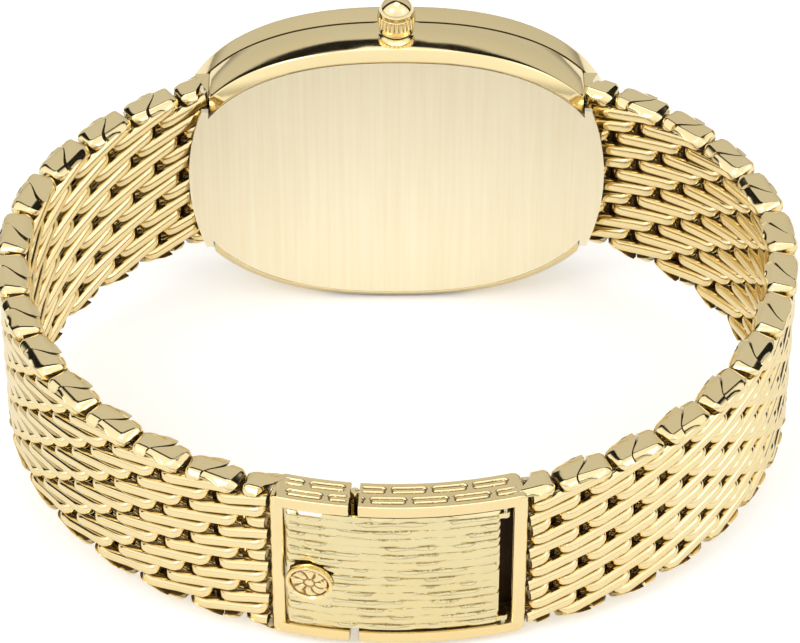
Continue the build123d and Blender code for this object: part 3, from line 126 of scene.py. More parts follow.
# Clasp
CLASP_HALF_LENGTH = 8.85
CLASP_HALF_WIDTH = WIDTH_AT_CLASP / 2
BAR_INNER_X = CLASP_HALF_LENGTH - 1.0
BAR_CORNER = 0.45
BAR_SQUEEZE = 0.1
BLOCK_CORNER = 0.08
RAIL_HEIGHT = 1.0
RAIL_OVERLAP = 0.5
RAIL_CORNER = 0.08
RAIL_STEP = 0.06
RAIL_PLAIN_END = 0.25
LEFT_RAIL_END = -3.4
RIGHT_RAIL_END = -2.8
RIGHT_BAR_CORNER = 0.34
HINGE_X = -3.1
HINGE_LEVELS = ((6.1, 7.08), (-7.08, -6.1))
COVER_HINGE_X = 7.3
KNUCKLE_LEVELS = ((5.15, 5.65), (-5.65, -5.15))
COMB_OVERLAP = 0.03

# Engraved ovals of the rails
OVAL_PITCH = 2.9
OVAL_ROWS = ((-0.5, 0.25), (0.5, 0.75))
OVAL_REACH = 0.98
OVAL_RADIUS = 0.22
GROOVE_WIDTH = 0.07
GROOVE_DEPTH = 0.09

# Cover and emblem
COVER_LEFT = -7.7
COVER_RIGHT = 6.95
COVER_HALF_HEIGHT = 5.9
COVER_UPPER = 5.8
COVER_THICKNESS = 0.4
COVER_EDGE = 0.18
NOTCH_DEPTH = 0.5
NOTCH_HALF_LENGTH = 0.85
NOTCH_SLOPE = 0.08
BARK_PITCH = 0.82
BARK_POWER = 1.8
BARK_HEIGHT = 0.22
BARK_SINK = 0.24
EMBLEM_X = -6.1
EMBLEM_Z = -1.0
EMBLEM_LIFT = 0.03


# Placing and meshing
def rest(points):
    """Working millimetres to leaned metres: Y' = Y cos a - Z sin a, Z' = Y sin a + Z cos a."""
    x, y, z = np.moveaxis(np.asarray(points, float), -1, 0)
    c, s = math.cos(LEAN), math.sin(LEAN)
    return np.stack([x, y * c - z * s, y * s + z * c], -1) * MM + ORIGIN


def ring_solid(rings, closed=False):
    """A skin over successive rings: corner (k, i) joins (k + 1, i + 1), with flat ends if open."""
    k, n, _ = rings.shape
    start = np.arange(k if closed else k - 1)[:, None] * n
    following = (start + n) % (k * n)
    i = np.arange(n)[None, :]
    j = (i + 1) % n
    quads = np.stack([start + i, start + j, following + j, following + i], -1).reshape(-1, 4)
    caps = [] if closed else [np.arange(n)[::-1], (k - 1) * n + np.arange(n)]
    return rings.reshape(-1, 3), quads, caps


def outward(solid):
    """The same solid with its faces turned out: flipped where its signed volume is negative."""
    points, quads, caps = solid
    fans = [np.stack([np.full(len(c) - 2, c[0]), c[1:-1], c[2:]], -1) for c in caps]
    triangles = np.concatenate([quads[:, [0, 1, 2]], quads[:, [0, 2, 3]]] + fans)
    middle = points - points.mean(0)
    a, b, c = (middle[triangles[:, i]] for i in range(3))
    if np.einsum("ij,ij->", a, np.cross(b, c)) < 0:
        return points, quads[:, ::-1], [cap[::-1] for cap in caps]
    return solid


def add_piece(name, solids, material, body, replaced=(), crease=38, deep=()):
    """One mesh object of several closed skins, riding on a body; the deep ones take the near-black
    painted shade material.
    """
    points, faces, offset = [], [], 0
    marks = []
    for index, solid in enumerate(map(outward, [*solids, *deep])):
        points.append(solid[0])
        faces += (solid[1] + offset).tolist()
        faces += [(cap + offset).tolist() for cap in solid[2]]
        offset += len(solid[0])
        marks += [int(index >= len(solids))] * (len(faces) - len(marks))
    mesh = bpy.data.meshes.new(name)
    mesh.from_pydata(rest(np.concatenate(points)).tolist(), [], faces)
    sides = np.array([len(face) for face in faces])
    mesh.polygons.foreach_set("use_smooth", sides == 4)
    mesh.set_sharp_from_angle(angle=math.radians(crease))
    mesh.materials.append(material)
    if deep:
        mesh.materials.append(GOLD_PAINTED_SHADE)
        mesh.polygons.foreach_set("material_index", marks)
    piece = bpy.data.objects.new(name, mesh)
    bpy.context.scene.collection.objects.link(piece)
    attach(piece, body)
    if replaced:
        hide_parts(*replaced)
    return piece


def rounded(profile, radius, steps=3):
    """A closed profile whose corners are cut by short arcs: points between p - r u and p + r v."""
    p = np.asarray(profile, float)
    back = np.roll(p, 1, 0) - p
    ahead = np.roll(p, -1, 0) - p
    back_length = np.linalg.norm(back, axis=1, keepdims=True)
    ahead_length = np.linalg.norm(ahead, axis=1, keepdims=True)
    near = p + back / back_length * np.minimum(radius, back_length * 0.45)
    far = p + ahead / ahead_length * np.minimum(radius, ahead_length * 0.45)
    t = np.linspace(0, 1, steps)[None, :, None]
    curve = (1 - t) ** 2 * near[:, None] + 2 * t * (1 - t) * p[:, None] + t ** 2 * far[:, None]
    return curve.reshape(-1, p.shape[1])


def rod(x, y, radius, low, high, sides):
    """A round rod: a circle of so many sides carried along Z."""
    angle = np.linspace(0, 2 * math.pi, sides, endpoint=False)
    circle = np.stack([x + radius * np.cos(angle), y + radius * np.sin(angle)], -1)
    rings = [np.column_stack([circle, np.full(sides, z)]) for z in (low, high)]
    return ring_solid(np.array(rings))


def signed_power(values, power):
    """sign(v) |v| ** p, the coordinate of a rounded box."""
    return np.sign(values) * np.abs(values) ** power


# Bracelet
def ring_pins():
    """Pins at equal steps of arc length along the half ellipse from the case to the clasp."""
    start = math.acos((CASE_END_X + FIRST_PIN_STANDOFF) / RING_HALF_WIDTH)
    end = -math.acos(CLASP_HALF_LENGTH / RING_HALF_WIDTH)
    angle = np.linspace(start, end, RING_STEPS + 1)
    reach = np.where(angle > 0, BAND_START_Y / math.sin(start), RING_TO_CLASP)
    path = np.stack([-RING_HALF_WIDTH * np.cos(angle), reach * np.sin(angle)], -1)
    length = np.concatenate([[0], np.cumsum(np.linalg.norm(np.diff(path, axis=0), axis=1))])
    pitch = length[-1] / CELLS
    steps = np.searchsorted(length, np.arange(CELLS + 1) * pitch - 1e-9)
    return path[np.minimum(steps, RING_STEPS)], pitch


PINS, PITCH = ring_pins()
BAND_LENGTH = PITCH * CELLS
ROW_LENGTH = PITCH * CELLS_PER_ROW


def half_width(s):
    """Half the band's width, falling evenly from the case to the clasp."""
    return (WIDTH_AT_CASE + (WIDTH_AT_CLASP - WIDTH_AT_CASE) * s / BAND_LENGTH) / 2


def level_z(level, s):
    """Height of a weave level, in shares of the band's half width."""
    return level * half_width(s) / RIM_LEVEL


def edge_fall(t):
    """Fall of a soft edge that bends early: 1 - (1 - t^p)^(1/p)."""
    return 1 - (1 - t ** EDGE_POWER) ** (1 / EDGE_POWER)


def rim_height(s, depth):
    """Height of the rim: half the width, less the edge fall where t grows over either edge."""
    outer = (depth - (HALF_BAND - BEVEL_OUTER)) / BEVEL_OUTER
    inner = (-depth - (HALF_BAND - BEVEL_INNER)) / BEVEL_INNER
    t = np.clip(np.maximum(outer, inner), 0, 1)
    return half_width(s) - RIM_BEVEL * edge_fall(t)


def place_row(row, s, depth, z):
    """Band coordinates of a row to working ones: its pin, plus its heading times (s, -depth)."""
    cell = min(max(row + 1, 0), CELLS - 1)
    heading = math.atan2(*(PINS[cell + 1] - PINS[cell])[::-1])
    first = min(max(row + 1, 0), CELLS)
    along = s - first * PITCH
    c, d = math.cos(heading), math.sin(heading)
    x = PINS[first][0] + along * c + depth * d
    y = PINS[first][1] + along * d - depth * c
    return np.stack([x, y, z], -1)


def mirror_side(points, side):
    """The right half is the left one turned half round about Y: X and Z change sign."""
    return points * np.array([-1, 1, -1]) if side == "right" else points


STRAIGHT = np.linspace(0, 1, 9)
TURNING = np.linspace(0, math.pi, 13)[1:-1]
QUARTER = np.linspace(0, math.radians(75), 5)[1:]
SECTION = np.linspace(0, 2 * math.pi, 20, endpoint=False)


def coil_path(row):
    """Centre line of a flattened helix: straight runs at depth +r and -r joined by square turns.

    A turn is half of |s/r|^p + |depth/r|^p = 1. Each run climbs one level over the row's length.
    Stations: s, depth, level, and the normal's two parts.
    """
    left, right = row * PITCH, row * PITCH + ROW_LENGTH
    layer = HALF_BAND - STRAND_HALF_DEPTH
    turn_left = left + ROW_END_GAP / 2 + HALF_BAND
    turn_right = right - ROW_END_GAP / 2 - HALF_BAND
    parts = []

    def arc(angles, is_outer, level_start, level_end, share):
        """A turn's stations: the rounded box's coordinates at the angles, the level by share."""
        sign = 1 if is_outer else -1
        centre = turn_right if is_outer else turn_left
        sine, cosine = np.sin(angles), np.cos(angles)
        s = centre + sign * layer * signed_power(sine, 2 / TURN_POWER)
        depth = sign * layer * signed_power(cosine, 2 / TURN_POWER)
        level = level_start + (level_end - level_start) * share
        normal = signed_power(np.stack([sine, cosine]), 2 - 2 / TURN_POWER)
        ns, nd = sign * normal / np.hypot(*normal)
        parts.append(np.stack([s, depth, level, ns, nd], -1))

    def level_at(run, s, is_outer):
        """A run's level: one step for each row length travelled."""
        travelled = (s - left) if is_outer else (right - s)
        return run - RUNS / 2 + travelled / ROW_LENGTH

    for run in range(RUNS):
        is_outer = (run % 2 == 1) == (row % 2 == 0)
        begin, end = (turn_left, turn_right) if is_outer else (turn_right, turn_left)
        if run == 0:
            level = level_at(0, begin, is_outer)
            arc(math.pi - QUARTER[::-1], not is_outer, level, level, 0 * QUARTER)
        s = begin + (end - begin) * STRAIGHT
        sign = 1 if is_outer else -1
        level = level_at(run, s, is_outer)
        parts.append(np.stack([s, 0 * s + sign * layer, level, 0 * s, 0 * s + sign], -1))
        if run < RUNS - 1:
            following = level_at(run + 1, end, not is_outer)
            arc(TURNING, is_outer, level[-1], following, TURNING / math.pi)
        else:
            arc(QUARTER, is_outer, level[-1], level[-1], 0 * QUARTER)
    return np.concatenate(parts)


def coil(row, low=-math.inf, high=math.inf):
    """A row's strands: a rounded-box section, |u|^p + |v|^p = 1, carried along the helix.

    u is across the band, v along the helix's normal; the rim cuts it flat, and stations outside
    low..high are dropped.
    """
    path = coil_path(row)
    keep = (path[:, 0] >= low) & (path[:, 0] <= high)
    edges = np.flatnonzero(np.diff(np.concatenate([[0], keep.astype(int), [0]])))
    solids = []
    across = signed_power(np.cos(SECTION), 2 / STRAND_POWER)
    outwards = signed_power(np.sin(SECTION), 2 / STRAND_POWER)
    for start, end in zip(edges[::2], edges[1::2]):
        if end - start < 2:
            continue
        s, depth, level, ns, nd = path[start:end].T[:, :, None]
        half = level_z(STRAND_HALF_LEVEL, s) - STRAND_GAP / 2
        ring_s = s + ns * STRAND_HALF_DEPTH * outwards
        ring_d = depth + nd * STRAND_HALF_DEPTH * outwards
        rim = rim_height(ring_s, ring_d)
        ring_z = np.clip(level_z(level, s) + half * across, -rim, rim)
        solids.append(ring_solid(place_row(row, ring_s, ring_d, ring_z)))
    return solids


def rim_blocks(row, low=-math.inf, high=math.inf):
    """The rim's two filler blocks: an outline with an S-shaped seam and a rounded tip.

    The seam runs as s = s0 -+ a sin(depth / b), turned over on the lower rim, and the tip as an
    arc. The top has soft edges towards the tip and both faces.
    """
    even = row % 2 == 0
    tip = row * PITCH + ROW_LENGTH - RIM_TIP_GAP / 2 if even else row * PITCH + RIM_TIP_GAP / 2
    seam = (row + 2) * PITCH + RIM_SEAM_GAP / 2 if even else (row + 1) * PITCH - RIM_SEAM_GAP / 2
    if min(tip, seam) < low or max(tip, seam) > high:
        return []
    depth = np.concatenate([BEVEL_INNER * (1 - EDGE_STEPS[::-1]) - HALF_BAND,
                            np.linspace(BEVEL_INNER - HALF_BAND, HALF_BAND - BEVEL_OUTER, 8),
                            HALF_BAND - BEVEL_OUTER * (1 - EDGE_STEPS)])
    corner = RIM_TIP_CORNER
    fall = np.clip(np.abs(depth) - (HALF_BAND - corner), 0, corner)
    tip_s = tip + (-1 if even else 1) * (corner - np.sqrt(corner ** 2 - fall ** 2))
    level_begin, level_end = RIM_LEVEL - 1 / 2, RIM_LEVEL - 1 / 6
    if even:
        level_begin, level_end = level_end, level_begin
    begin, end = min(tip, seam), max(tip, seam)
    to_tip = TIP_SHARE + (1 - TIP_SHARE) * EDGE_STEPS
    share = np.concatenate([np.linspace(0, TIP_SHARE, 7), to_tip])[:, None]
    towards_tip = np.clip((share - TIP_SHARE) / (1 - TIP_SHARE), 0, 1)
    solids = []
    for side in (1, -1):
        swing = np.sin(math.pi / 2 * np.clip(depth / SEAM_REACH, -1, 1))
        seam_s = seam - side * SEAM_SWING * swing
        s = seam_s + (tip_s - seam_s) * share
        d = np.broadcast_to(depth, s.shape)
        along = np.clip((s - begin) / (end - begin), 0, 1)
        near = level_z(level_begin + (level_end - level_begin) * along, s) + STRAND_GAP / 2
        top = rim_height(s, d) - TIP_ROUNDING * edge_fall(towards_tip)
        top = np.maximum(top, near + LEAST_BLOCK)
        low_z, high_z = place_row(row, s, d, side * near), place_row(row, s, d, side * top)
        solids.append(ring_solid(np.concatenate([low_z, high_z[:, ::-1]], 1)))
    return solids


def pin_rod(pin):
    """A pin between the rims: a rod that ends a gap short of the rim's inner level."""
    reach = level_z(RIM_LEVEL - 1 / 2, pin * PITCH) - PIN_END_GAP
    return rod(*PINS[pin], PIN_RADIUS, -reach, reach, 12)


def on_side(solids, side):
    """Solids of the left half, turned to their own side."""
    return [(mirror_side(points, side), quads, caps) for points, quads, caps in solids]


# Case
def oval(half_length, half_height, depth, turn):
    """A full oval, |x/a|^n + |z/b|^n = 1, at a depth, for a column of sizes and a row of turns."""
    x = signed_power(np.cos(turn), 2 / OVAL_POWER) * half_length
    z = signed_power(np.sin(turn), 2 / OVAL_POWER) * half_height
    return np.stack(np.broadcast_arrays(x, BACK_PLANE_Y + depth, z), -1)


def oval_ring(profile, clamp=None):
    """A closed profile of (half length, half height, depth) swept round the oval.

    Its ends are cut at x = clamp, less the lug facet's inset near the back.
    """
    turn = np.linspace(0, 2 * math.pi, 360, endpoint=False)[:, None]
    a, b, depth = (profile[:, i][None, :] for i in range(3))
    rings = oval(a, b, depth, turn)
    if clamp:
        reach = clamp - LUG_FACET_INSET * np.clip(1 - depth / LUG_FACET_DEPTH, 0, 1)
        rings[..., 0] = np.clip(rings[..., 0], -reach, reach)
    return ring_solid(rings, closed=True)


def revolve(profile, count, wave=None, top_depth=None):
    """A profile of (radius, height) turned round the crown's axis; wave adds flutes by angle."""
    angle = np.linspace(0, 2 * math.pi, count, endpoint=False)[None, :]
    radius, height = (np.asarray(profile, float)[:, i][:, None] for i in range(2))
    r = radius + (wave(angle, height) if wave else 0)
    y = BACK_PLANE_Y + CROWN_DEPTH + r * np.sin(angle)
    if top_depth is not None:
        y = np.minimum(y, BACK_PLANE_Y + top_depth)
    return ring_solid(np.stack(np.broadcast_arrays(r * np.cos(angle), y, height), -1))


# Clasp
def clasp_centre():
    """Radius and centre of the arc through the ring's front and both ends of the clasp."""
    end_y = -RING_TO_CLASP * math.sin(math.acos(CLASP_HALF_LENGTH / RING_HALF_WIDTH))
    rise = RING_TO_CLASP + end_y
    radius = (CLASP_HALF_LENGTH ** 2 + rise ** 2) / (2 * rise)
    return radius, radius - RING_TO_CLASP


CLASP_RADIUS, CLASP_CENTRE_Y = clasp_centre()


def clasp_place(x, depth, z):
    """Clasp coordinates to working ones: (R + depth) times the arc's direction at asin(x / R)."""
    angle = np.arcsin(x / CLASP_RADIUS)
    reach = CLASP_RADIUS + depth
    points = np.broadcast_arrays(reach * np.sin(angle), CLASP_CENTRE_Y - reach * np.cos(angle), z)
    return np.stack(points, -1)


def clasp_bar(x_in, x_out, radius):
    """An upright bar across the band, a rounded rectangle in (x, depth) carried along Z.

    Near both ends its outer side draws in along a quarter circle of the corner radius, and the
    section grows a little thinner with it.
    """
    x_low, x_high = min(x_in, x_out), max(x_in, x_out)
    corners = [(x_low, -HALF_BAND), (x_high, -HALF_BAND), (x_high, HALF_BAND), (x_low, HALF_BAND)]
    x, depth = rounded(corners, radius, 7).T
    turn = np.linspace(0, math.pi / 2, 7)[:-1]
    ends = CLASP_HALF_WIDTH - BAR_CORNER * (1 - np.sin(turn))
    drawn = BAR_CORNER * (1 - np.cos(turn)) / abs(x_out - x_in)
    levels = np.concatenate([-ends[::-1], ends])[:, None]
    share = 1 - np.concatenate([drawn[::-1], drawn])[:, None]
    squeeze = 1 - BAR_SQUEEZE * (1 - share)
    return ring_solid(clasp_place(x_in + (x - x_in) * share, depth * squeeze, levels))


def cartouches(x, depth):
    """Depth of the engraving on a rail: exp(-(q / w)^2), with q the distance from a long oval.

    The ovals stand in two staggered rows.
    """
    groove = np.zeros(np.broadcast(x, depth).shape)
    for row, shift in OVAL_ROWS:
        local = (x / OVAL_PITCH + shift) % 1 * OVAL_PITCH - OVAL_PITCH / 2
        reach = np.maximum(np.abs(local) - OVAL_REACH, 0)
        distance = np.hypot(reach, depth - row) - OVAL_RADIUS
        groove += np.exp(-(distance / GROOVE_WIDTH) ** 2)
    return GROOVE_DEPTH * np.minimum(groove, 1)


def clasp_rail(x_low, x_high, side):
    """A rail along the clasp's edge, its outer face engraved where the groove formula says."""
    top = np.linspace(RAIL_CORNER - HALF_BAND, HALF_BAND - RAIL_CORNER, 49)
    corner = np.array([(HALF_BAND - 0.02, 0.98), (HALF_BAND, 0.92), (HALF_BAND, 0.5),
                       (HALF_BAND, 0.08), (HALF_BAND - 0.02, 0.02), (HALF_BAND - 0.08, 0.0)])
    section_d = np.concatenate([top, corner[:, 0], -corner[::-1, 0]])
    section_z = np.concatenate([np.ones(len(top)), corner[:, 1], corner[::-1, 1]])
    count = int((x_high - x_low) / RAIL_STEP)
    between = np.linspace(x_low + 0.04, x_high - 0.04, count)
    x = np.concatenate([[x_low], between, [x_high]])[:, None]
    engraved = np.zeros((len(x), len(section_d)))
    inside = (x > x_low + RAIL_PLAIN_END) & (x < x_high - RAIL_PLAIN_END)
    engraved[:, :len(top)] = cartouches(x, top[None, :]) * inside
    end_bevel = np.zeros((len(x), 1))
    end_bevel[[0, -1]] = 0.06
    inner = CLASP_HALF_WIDTH - RAIL_HEIGHT
    middle = inner + RAIL_HEIGHT / 2
    z = inner + (section_z[None, :] - engraved) * RAIL_HEIGHT
    z = middle + (z - middle) * (1 - end_bevel / (RAIL_HEIGHT / 2))
    return ring_solid(clasp_place(x, section_d * (1 - end_bevel / HALF_BAND), side * z))


def bark(x, z):
    """Height of the bark finish: rows of rounded bars, 1 - |2 u|^p across, swelling along x.

    The rows wander by two slow sines, the swelling is a sharp step of a beat of sines, and a fine
    grain of sines fills the hollows. The bare numbers are the sines' rates and offsets.
    """
    wander = 0.035 * np.sin(1.3 * x + 0.9 * z) + 0.05 * np.sin(0.45 * x + 0.6 * z)
    phase = z / BARK_PITCH + wander
    rank = np.round(phase)
    bar = 1 - np.abs(2 * (phase - rank)) ** BARK_POWER
    beat = np.sin(0.62 * x + 2.4 * rank) * np.sin(0.33 * x - 1.9 * rank + 1)
    beat += 0.35 * np.sin(1.9 * x + 4.1 * rank)
    swell = 0.62 + 0.38 * np.tanh(5 * beat)
    grain = np.sin(3.1 * phase * math.pi + rank) * np.sin(2.3 * x + 3.1 * rank)
    return BARK_HEIGHT * np.maximum(bar * swell, 0.12 * (1 + grain)) + 0.01 * grain


def clasp_cover():
    """The cover: a thin bent plate with a small notch in its upper edge, its outer face in bark."""
    x = np.linspace(COVER_LEFT, COVER_RIGHT, 200)[:, None]
    rows = np.linspace(-1, 1, 220)[None, :]
    notch = np.clip((NOTCH_HALF_LENGTH - np.abs(x - EMBLEM_X)) / NOTCH_SLOPE, 0, 1)
    upper = COVER_UPPER - NOTCH_DEPTH * notch
    z = np.where(rows > 0, rows * upper, rows * COVER_HALF_HEIGHT)
    to_ends = np.minimum(x - COVER_LEFT, COVER_RIGHT - x)
    border = np.minimum(to_ends, np.minimum(z + COVER_HALF_HEIGHT, upper - z))
    relief = bark(x, z) * np.clip(border / COVER_EDGE, 0, 1) - BARK_SINK
    outer = clasp_place(x, HALF_BAND + relief, z)
    back = np.concatenate([z[:, -1:], (z[:, -1:] + z[:, :1]) / 2, z[:, :1]], 1)
    inner = clasp_place(x, HALF_BAND - COVER_THICKNESS, back)
    return ring_solid(np.concatenate([outer, inner], 1))


def emblem():
    """A round boss: eight petals |cos(4 turn + 0.5 sin 3r)|, a heart 1 - (r / 0.36)^2 and a rim."""
    face, edge = np.linspace(0.1, 1.35, 14), [1.42, 1.5, 1.62, 1.68, 1.7, 1.7]
    r = np.concatenate([[0.02], face, edge])[:, None]
    turn = np.linspace(0, 2 * math.pi, 96, endpoint=False)[None, :]
    petal = np.clip(1.5 * np.abs(np.cos(4 * turn + 0.5 * np.sin(3 * r))) - 0.35, 0, 1)
    inside = (r > 0.42) & (r < 1.3)
    veins = 0.2 * petal * inside * np.sin(np.clip((r - 0.42) / 0.88, 0, 1) * math.pi) ** 0.5
    heart = 0.15 * np.clip(1 - (r / 0.36) ** 2, 0, 1)
    rim = 0.19 * np.clip((r - 1.38) / 0.1, 0, 1)
    height = 0.2 + veins + heart + rim
    height[-2:] = np.array([0.3, 0.0])[:, None]
    angle = math.asin(EMBLEM_X / CLASP_RADIUS)
    along = np.array([math.cos(angle), math.sin(angle), 0])
    normal = np.array([math.sin(angle), -math.cos(angle), 0])
    upright = np.array([0, 0, 1])
    middle = clasp_place(np.array(EMBLEM_X), HALF_BAND + EMBLEM_LIFT, np.array(EMBLEM_Z))
    flat = (r * np.cos(turn))[..., None] * along + (r * np.sin(turn))[..., None] * upright
    return ring_solid(middle + flat + height[..., None] * normal)


def clasp_rod(x, depth, radius, low, high):
    """A rod along Z at a place in the clasp."""
    rod_x, rod_y, _ = clasp_place(np.array(x), depth, np.array(0.0))
    return rod(rod_x, rod_y, radius, low, high, 24)


def clasp_block(x_low, x_high, depth_in, depth_out, z_low, z_high):
    """A plain bent block: a rounded rectangle in (depth, z) carried along the arc."""
    corners = [(depth_in, z_low), (depth_out, z_low), (depth_out, z_high), (depth_in, z_high)]
    depth, z = rounded(corners, BLOCK_CORNER).T
    x = np.linspace(x_low, x_high, 12)[:, None]
    return ring_solid(clasp_place(x, depth[None, :], z[None, :]))


# Materials
def new_group(name, inputs, outputs):
    """An empty node group with float inputs and typed outputs."""
    group = bpy.data.node_groups.new(name, "ShaderNodeTree")
    for label, value in inputs:
        socket = group.interface.new_socket(label, in_out="INPUT", socket_type="NodeSocketFloat")
        socket.default_value = value
    for label, kind in outputs:
        group.interface.new_socket(label, in_out="OUTPUT", socket_type=kind)
    return group, group.nodes.new("NodeGroupInput"), group.nodes.new("NodeGroupOutput")


def add_node(tree, kind, values=None, **settings):
    """A new node with its settings, and with constants set on its named inputs."""
    node = tree.nodes.new(kind)
    for label, value in settings.items():
        setattr(node, label, value)
    for label, value in (values or {}).items():
        node.inputs[label].default_value = value
    return node


def add_range(tree, source, values, kind="LINEAR"):
    """The output of a map range node on a source."""
    node = add_node(tree, "ShaderNodeMapRange", values, interpolation_type=kind)
    tree.links.new(source, node.inputs["Value"])
    return node.outputs["Result"]


def wear_group():
    """Polish marks: fine noise of stretched coordinates, and a slow noise as tint mask."""
    group, given, result = new_group("polish_marks", [("Scale", 900.0), ("Stretch", 1.0)],
                                     [("Marks", "NodeSocketFloat"), ("Tint", "NodeSocketFloat")])
    links = group.links
    place = add_node(group, "ShaderNodeTexCoord")
    squeeze = add_node(group, "ShaderNodeVectorMath", operation="MULTIPLY")
    combine = add_node(group, "ShaderNodeCombineXYZ", {"X": 1.0})
    links.new(given.outputs["Stretch"], combine.inputs["Y"])
    links.new(given.outputs["Stretch"], combine.inputs["Z"])
    links.new(place.outputs["Object"], squeeze.inputs[0])
    links.new(combine.outputs["Vector"], squeeze.inputs[1])
    fine = add_node(group, "ShaderNodeTexNoise", {"Detail": 3.0})
    links.new(squeeze.outputs["Vector"], fine.inputs["Vector"])
    links.new(given.outputs["Scale"], fine.inputs["Scale"])
    slow = add_node(group, "ShaderNodeTexNoise", {"Scale": 160.0, "Detail": 1.0})
    links.new(place.outputs["Object"], slow.inputs["Vector"])
    links.new(fine.outputs["Fac"], result.inputs["Marks"])
    links.new(slow.outputs["Fac"], result.inputs["Tint"])
    return group


def masked(group, given, result, source, values):
    """Ends a mask group: strength times a smooth step of the source."""
    step = add_node(group, "ShaderNodeMapRange", values, interpolation_type="SMOOTHSTEP")
    group.links.new(source, step.inputs["Value"])
    group.links.new(given.outputs["Strength"], step.inputs["To Max"])
    group.links.new(step.outputs["Result"], result.inputs["Mask"])
    return group


def painted_crevice_shade_group():
    """A mask of painted shade in hollow edges: a smooth step of the surface's pointiness below
    flat.
    """
    group, given, result = new_group("painted_hollow_shade", [("Strength", 1.0)],
                                     [("Mask", "NodeSocketFloat")])
    shape = add_node(group, "ShaderNodeNewGeometry")
    return masked(group, given, result, shape.outputs["Pointiness"],
                  {"From Min": 0.497, "From Max": 0.465})


def painted_deep_shade_group():
    """A mask of painted shade in deep places: a smooth step of the open share of the near sky."""
    group, given, result = new_group("painted_deep_shade_mask", [("Strength", 1.0), ("Reach", 0.0007)],
                                     [("Mask", "NodeSocketFloat")])
    open_share = add_node(group, "ShaderNodeAmbientOcclusion", samples=4)
    group.links.new(given.outputs["Reach"], open_share.inputs["Distance"])
    return masked(group, given, result, open_share.outputs["AO"],
                  {"From Min": 0.5, "From Max": 0.2})


def new_material(name, values):
    """A material with constants set on its Principled shader."""
    material = bpy.data.materials.new(name)
    material.use_nodes = True
    tree = material.node_tree
    shader = tree.nodes["Principled BSDF"]
    for label, value in values.items():
        shader.inputs[label].default_value = value
    return material, tree, shader


def metal(name, light, dark, roughness, scale, stretch, bump, spread=0.08, metallic=1.0,
          crevice_shade=0.0, shade=0.0, brushed=False):
    """A metal whose roughness and bump follow the polish marks.

    Its base colour is mixed by the tint mask, or by the marks where brushed. Painted shade turns it
    amber in hollow edges and near black in deep places, where it is less metallic too.
    """
    material, tree, shader = new_material(name, {"Metallic": metallic})
    links = tree.links
    marks = add_node(tree, "ShaderNodeGroup", node_tree=POLISH)
    marks.inputs["Scale"].default_value = scale
    marks.inputs["Stretch"].default_value = stretch
    colour = add_node(tree, "ShaderNodeMix", data_type="RGBA")
    colour.inputs["A"].default_value = (*light, 1)
    colour.inputs["B"].default_value = (*dark, 1)
    tint = marks.outputs["Tint"]
    if brushed:
        tint = add_range(tree, marks.outputs["Marks"], {"From Min": 0.32, "From Max": 0.68})
    links.new(tint, colour.inputs["Factor"])
    for group, strength, tone in ((PAINTED_CREVICE_SHADE, crevice_shade, CREVICE_SHADE_TONE), (PAINTED_DEEP_SHADE, shade, DEEP_SHADE_TONE)):
        if not strength:
            continue
        mask = add_node(tree, "ShaderNodeGroup", node_tree=group)
        mask.inputs["Strength"].default_value = strength
        toned = add_node(tree, "ShaderNodeMix", data_type="RGBA")
        toned.inputs["B"].default_value = tone
        links.new(mask.outputs["Mask"], toned.inputs["Factor"])
        links.new(colour.outputs["Result"], toned.inputs["A"])
        colour = toned
    # Where the painted shade of deep places lies, the surface is made less metallic as well
    if shade:
        bright = add_node(tree, "ShaderNodeMath", operation="SUBTRACT")
        bright.inputs[0].default_value = 1.0
        links.new(mask.outputs["Mask"], bright.inputs[1])
        links.new(bright.outputs[0], shader.inputs["Metallic"])
    links.new(colour.outputs["Result"], shader.inputs["Base Color"])
    rough = add_range(tree, marks.outputs["Marks"], {"To Min": max(roughness - spread / 2, 0.02),
                                                     "To Max": roughness + spread / 2})
    links.new(rough, shader.inputs["Roughness"])
    relief = add_node(tree, "ShaderNodeBump", {"Strength": bump, "Distance": 0.00002})
    links.new(marks.outputs["Marks"], relief.inputs["Height"])
    links.new(relief.outputs["Normal"], shader.inputs["Normal"])
    return material


# Colours of painted shade: amber in hollow edges, near black in deep places
CREVICE_SHADE_TONE = (0.20, 0.11, 0.02, 1)
DEEP_SHADE_TONE = (0.05, 0.025, 0.005, 1)
POLISH = wear_group()
PAINTED_CREVICE_SHADE = painted_crevice_shade_group()
PAINTED_DEEP_SHADE = painted_deep_shade_group()

# The polished, engraved and bark golds carry painted shade: amber in hollow edges, near black in
# deep places
# Light and dark colour, roughness, scale and stretch of the marks, bump, and what else is given
GOLD = metal("polished_gold", (0.94, 0.785, 0.45), (0.915, 0.735, 0.385), 0.09, 1500.0, 1.0, 0.08,
             shade=0.95)
# Near-black painted shade for the pins and the slot's web, parts that sit in shaded gaps
GOLD_PAINTED_SHADE = metal("painted_shade_gold", (0.035, 0.016, 0.006), (0.02, 0.009, 0.003), 0.5, 1500.0, 1.0, 0.2,
                  metallic=0.2)
GOLD_PAINTED_SHADE.node_tree.nodes["Principled BSDF"].inputs["Specular IOR Level"].default_value = 0.15
GOLD_CUT = metal("engraved_gold", (0.94, 0.76, 0.42), (0.91, 0.72, 0.37), 0.14, 2500.0, 1.0, 0.2,
                 crevice_shade=0.9, shade=0.9)
GOLD_BARK = metal("bark_gold", (0.87, 0.765, 0.46), (0.79, 0.67, 0.36), 0.12, 2500.0, 1.0, 0.30,
                  crevice_shade=0.75)
GOLD_SATIN = metal("satin_gold", (1.0, 0.925, 0.71), (0.975, 0.88, 0.65), 0.34, 3500.0, 0.02, 0.6,
                   spread=0.16, brushed=True)
HAND_GOLD = metal("hand_gold", (0.86, 0.68, 0.32), (0.80, 0.62, 0.28), 0.18, 1500.0, 1.0, 0.1)
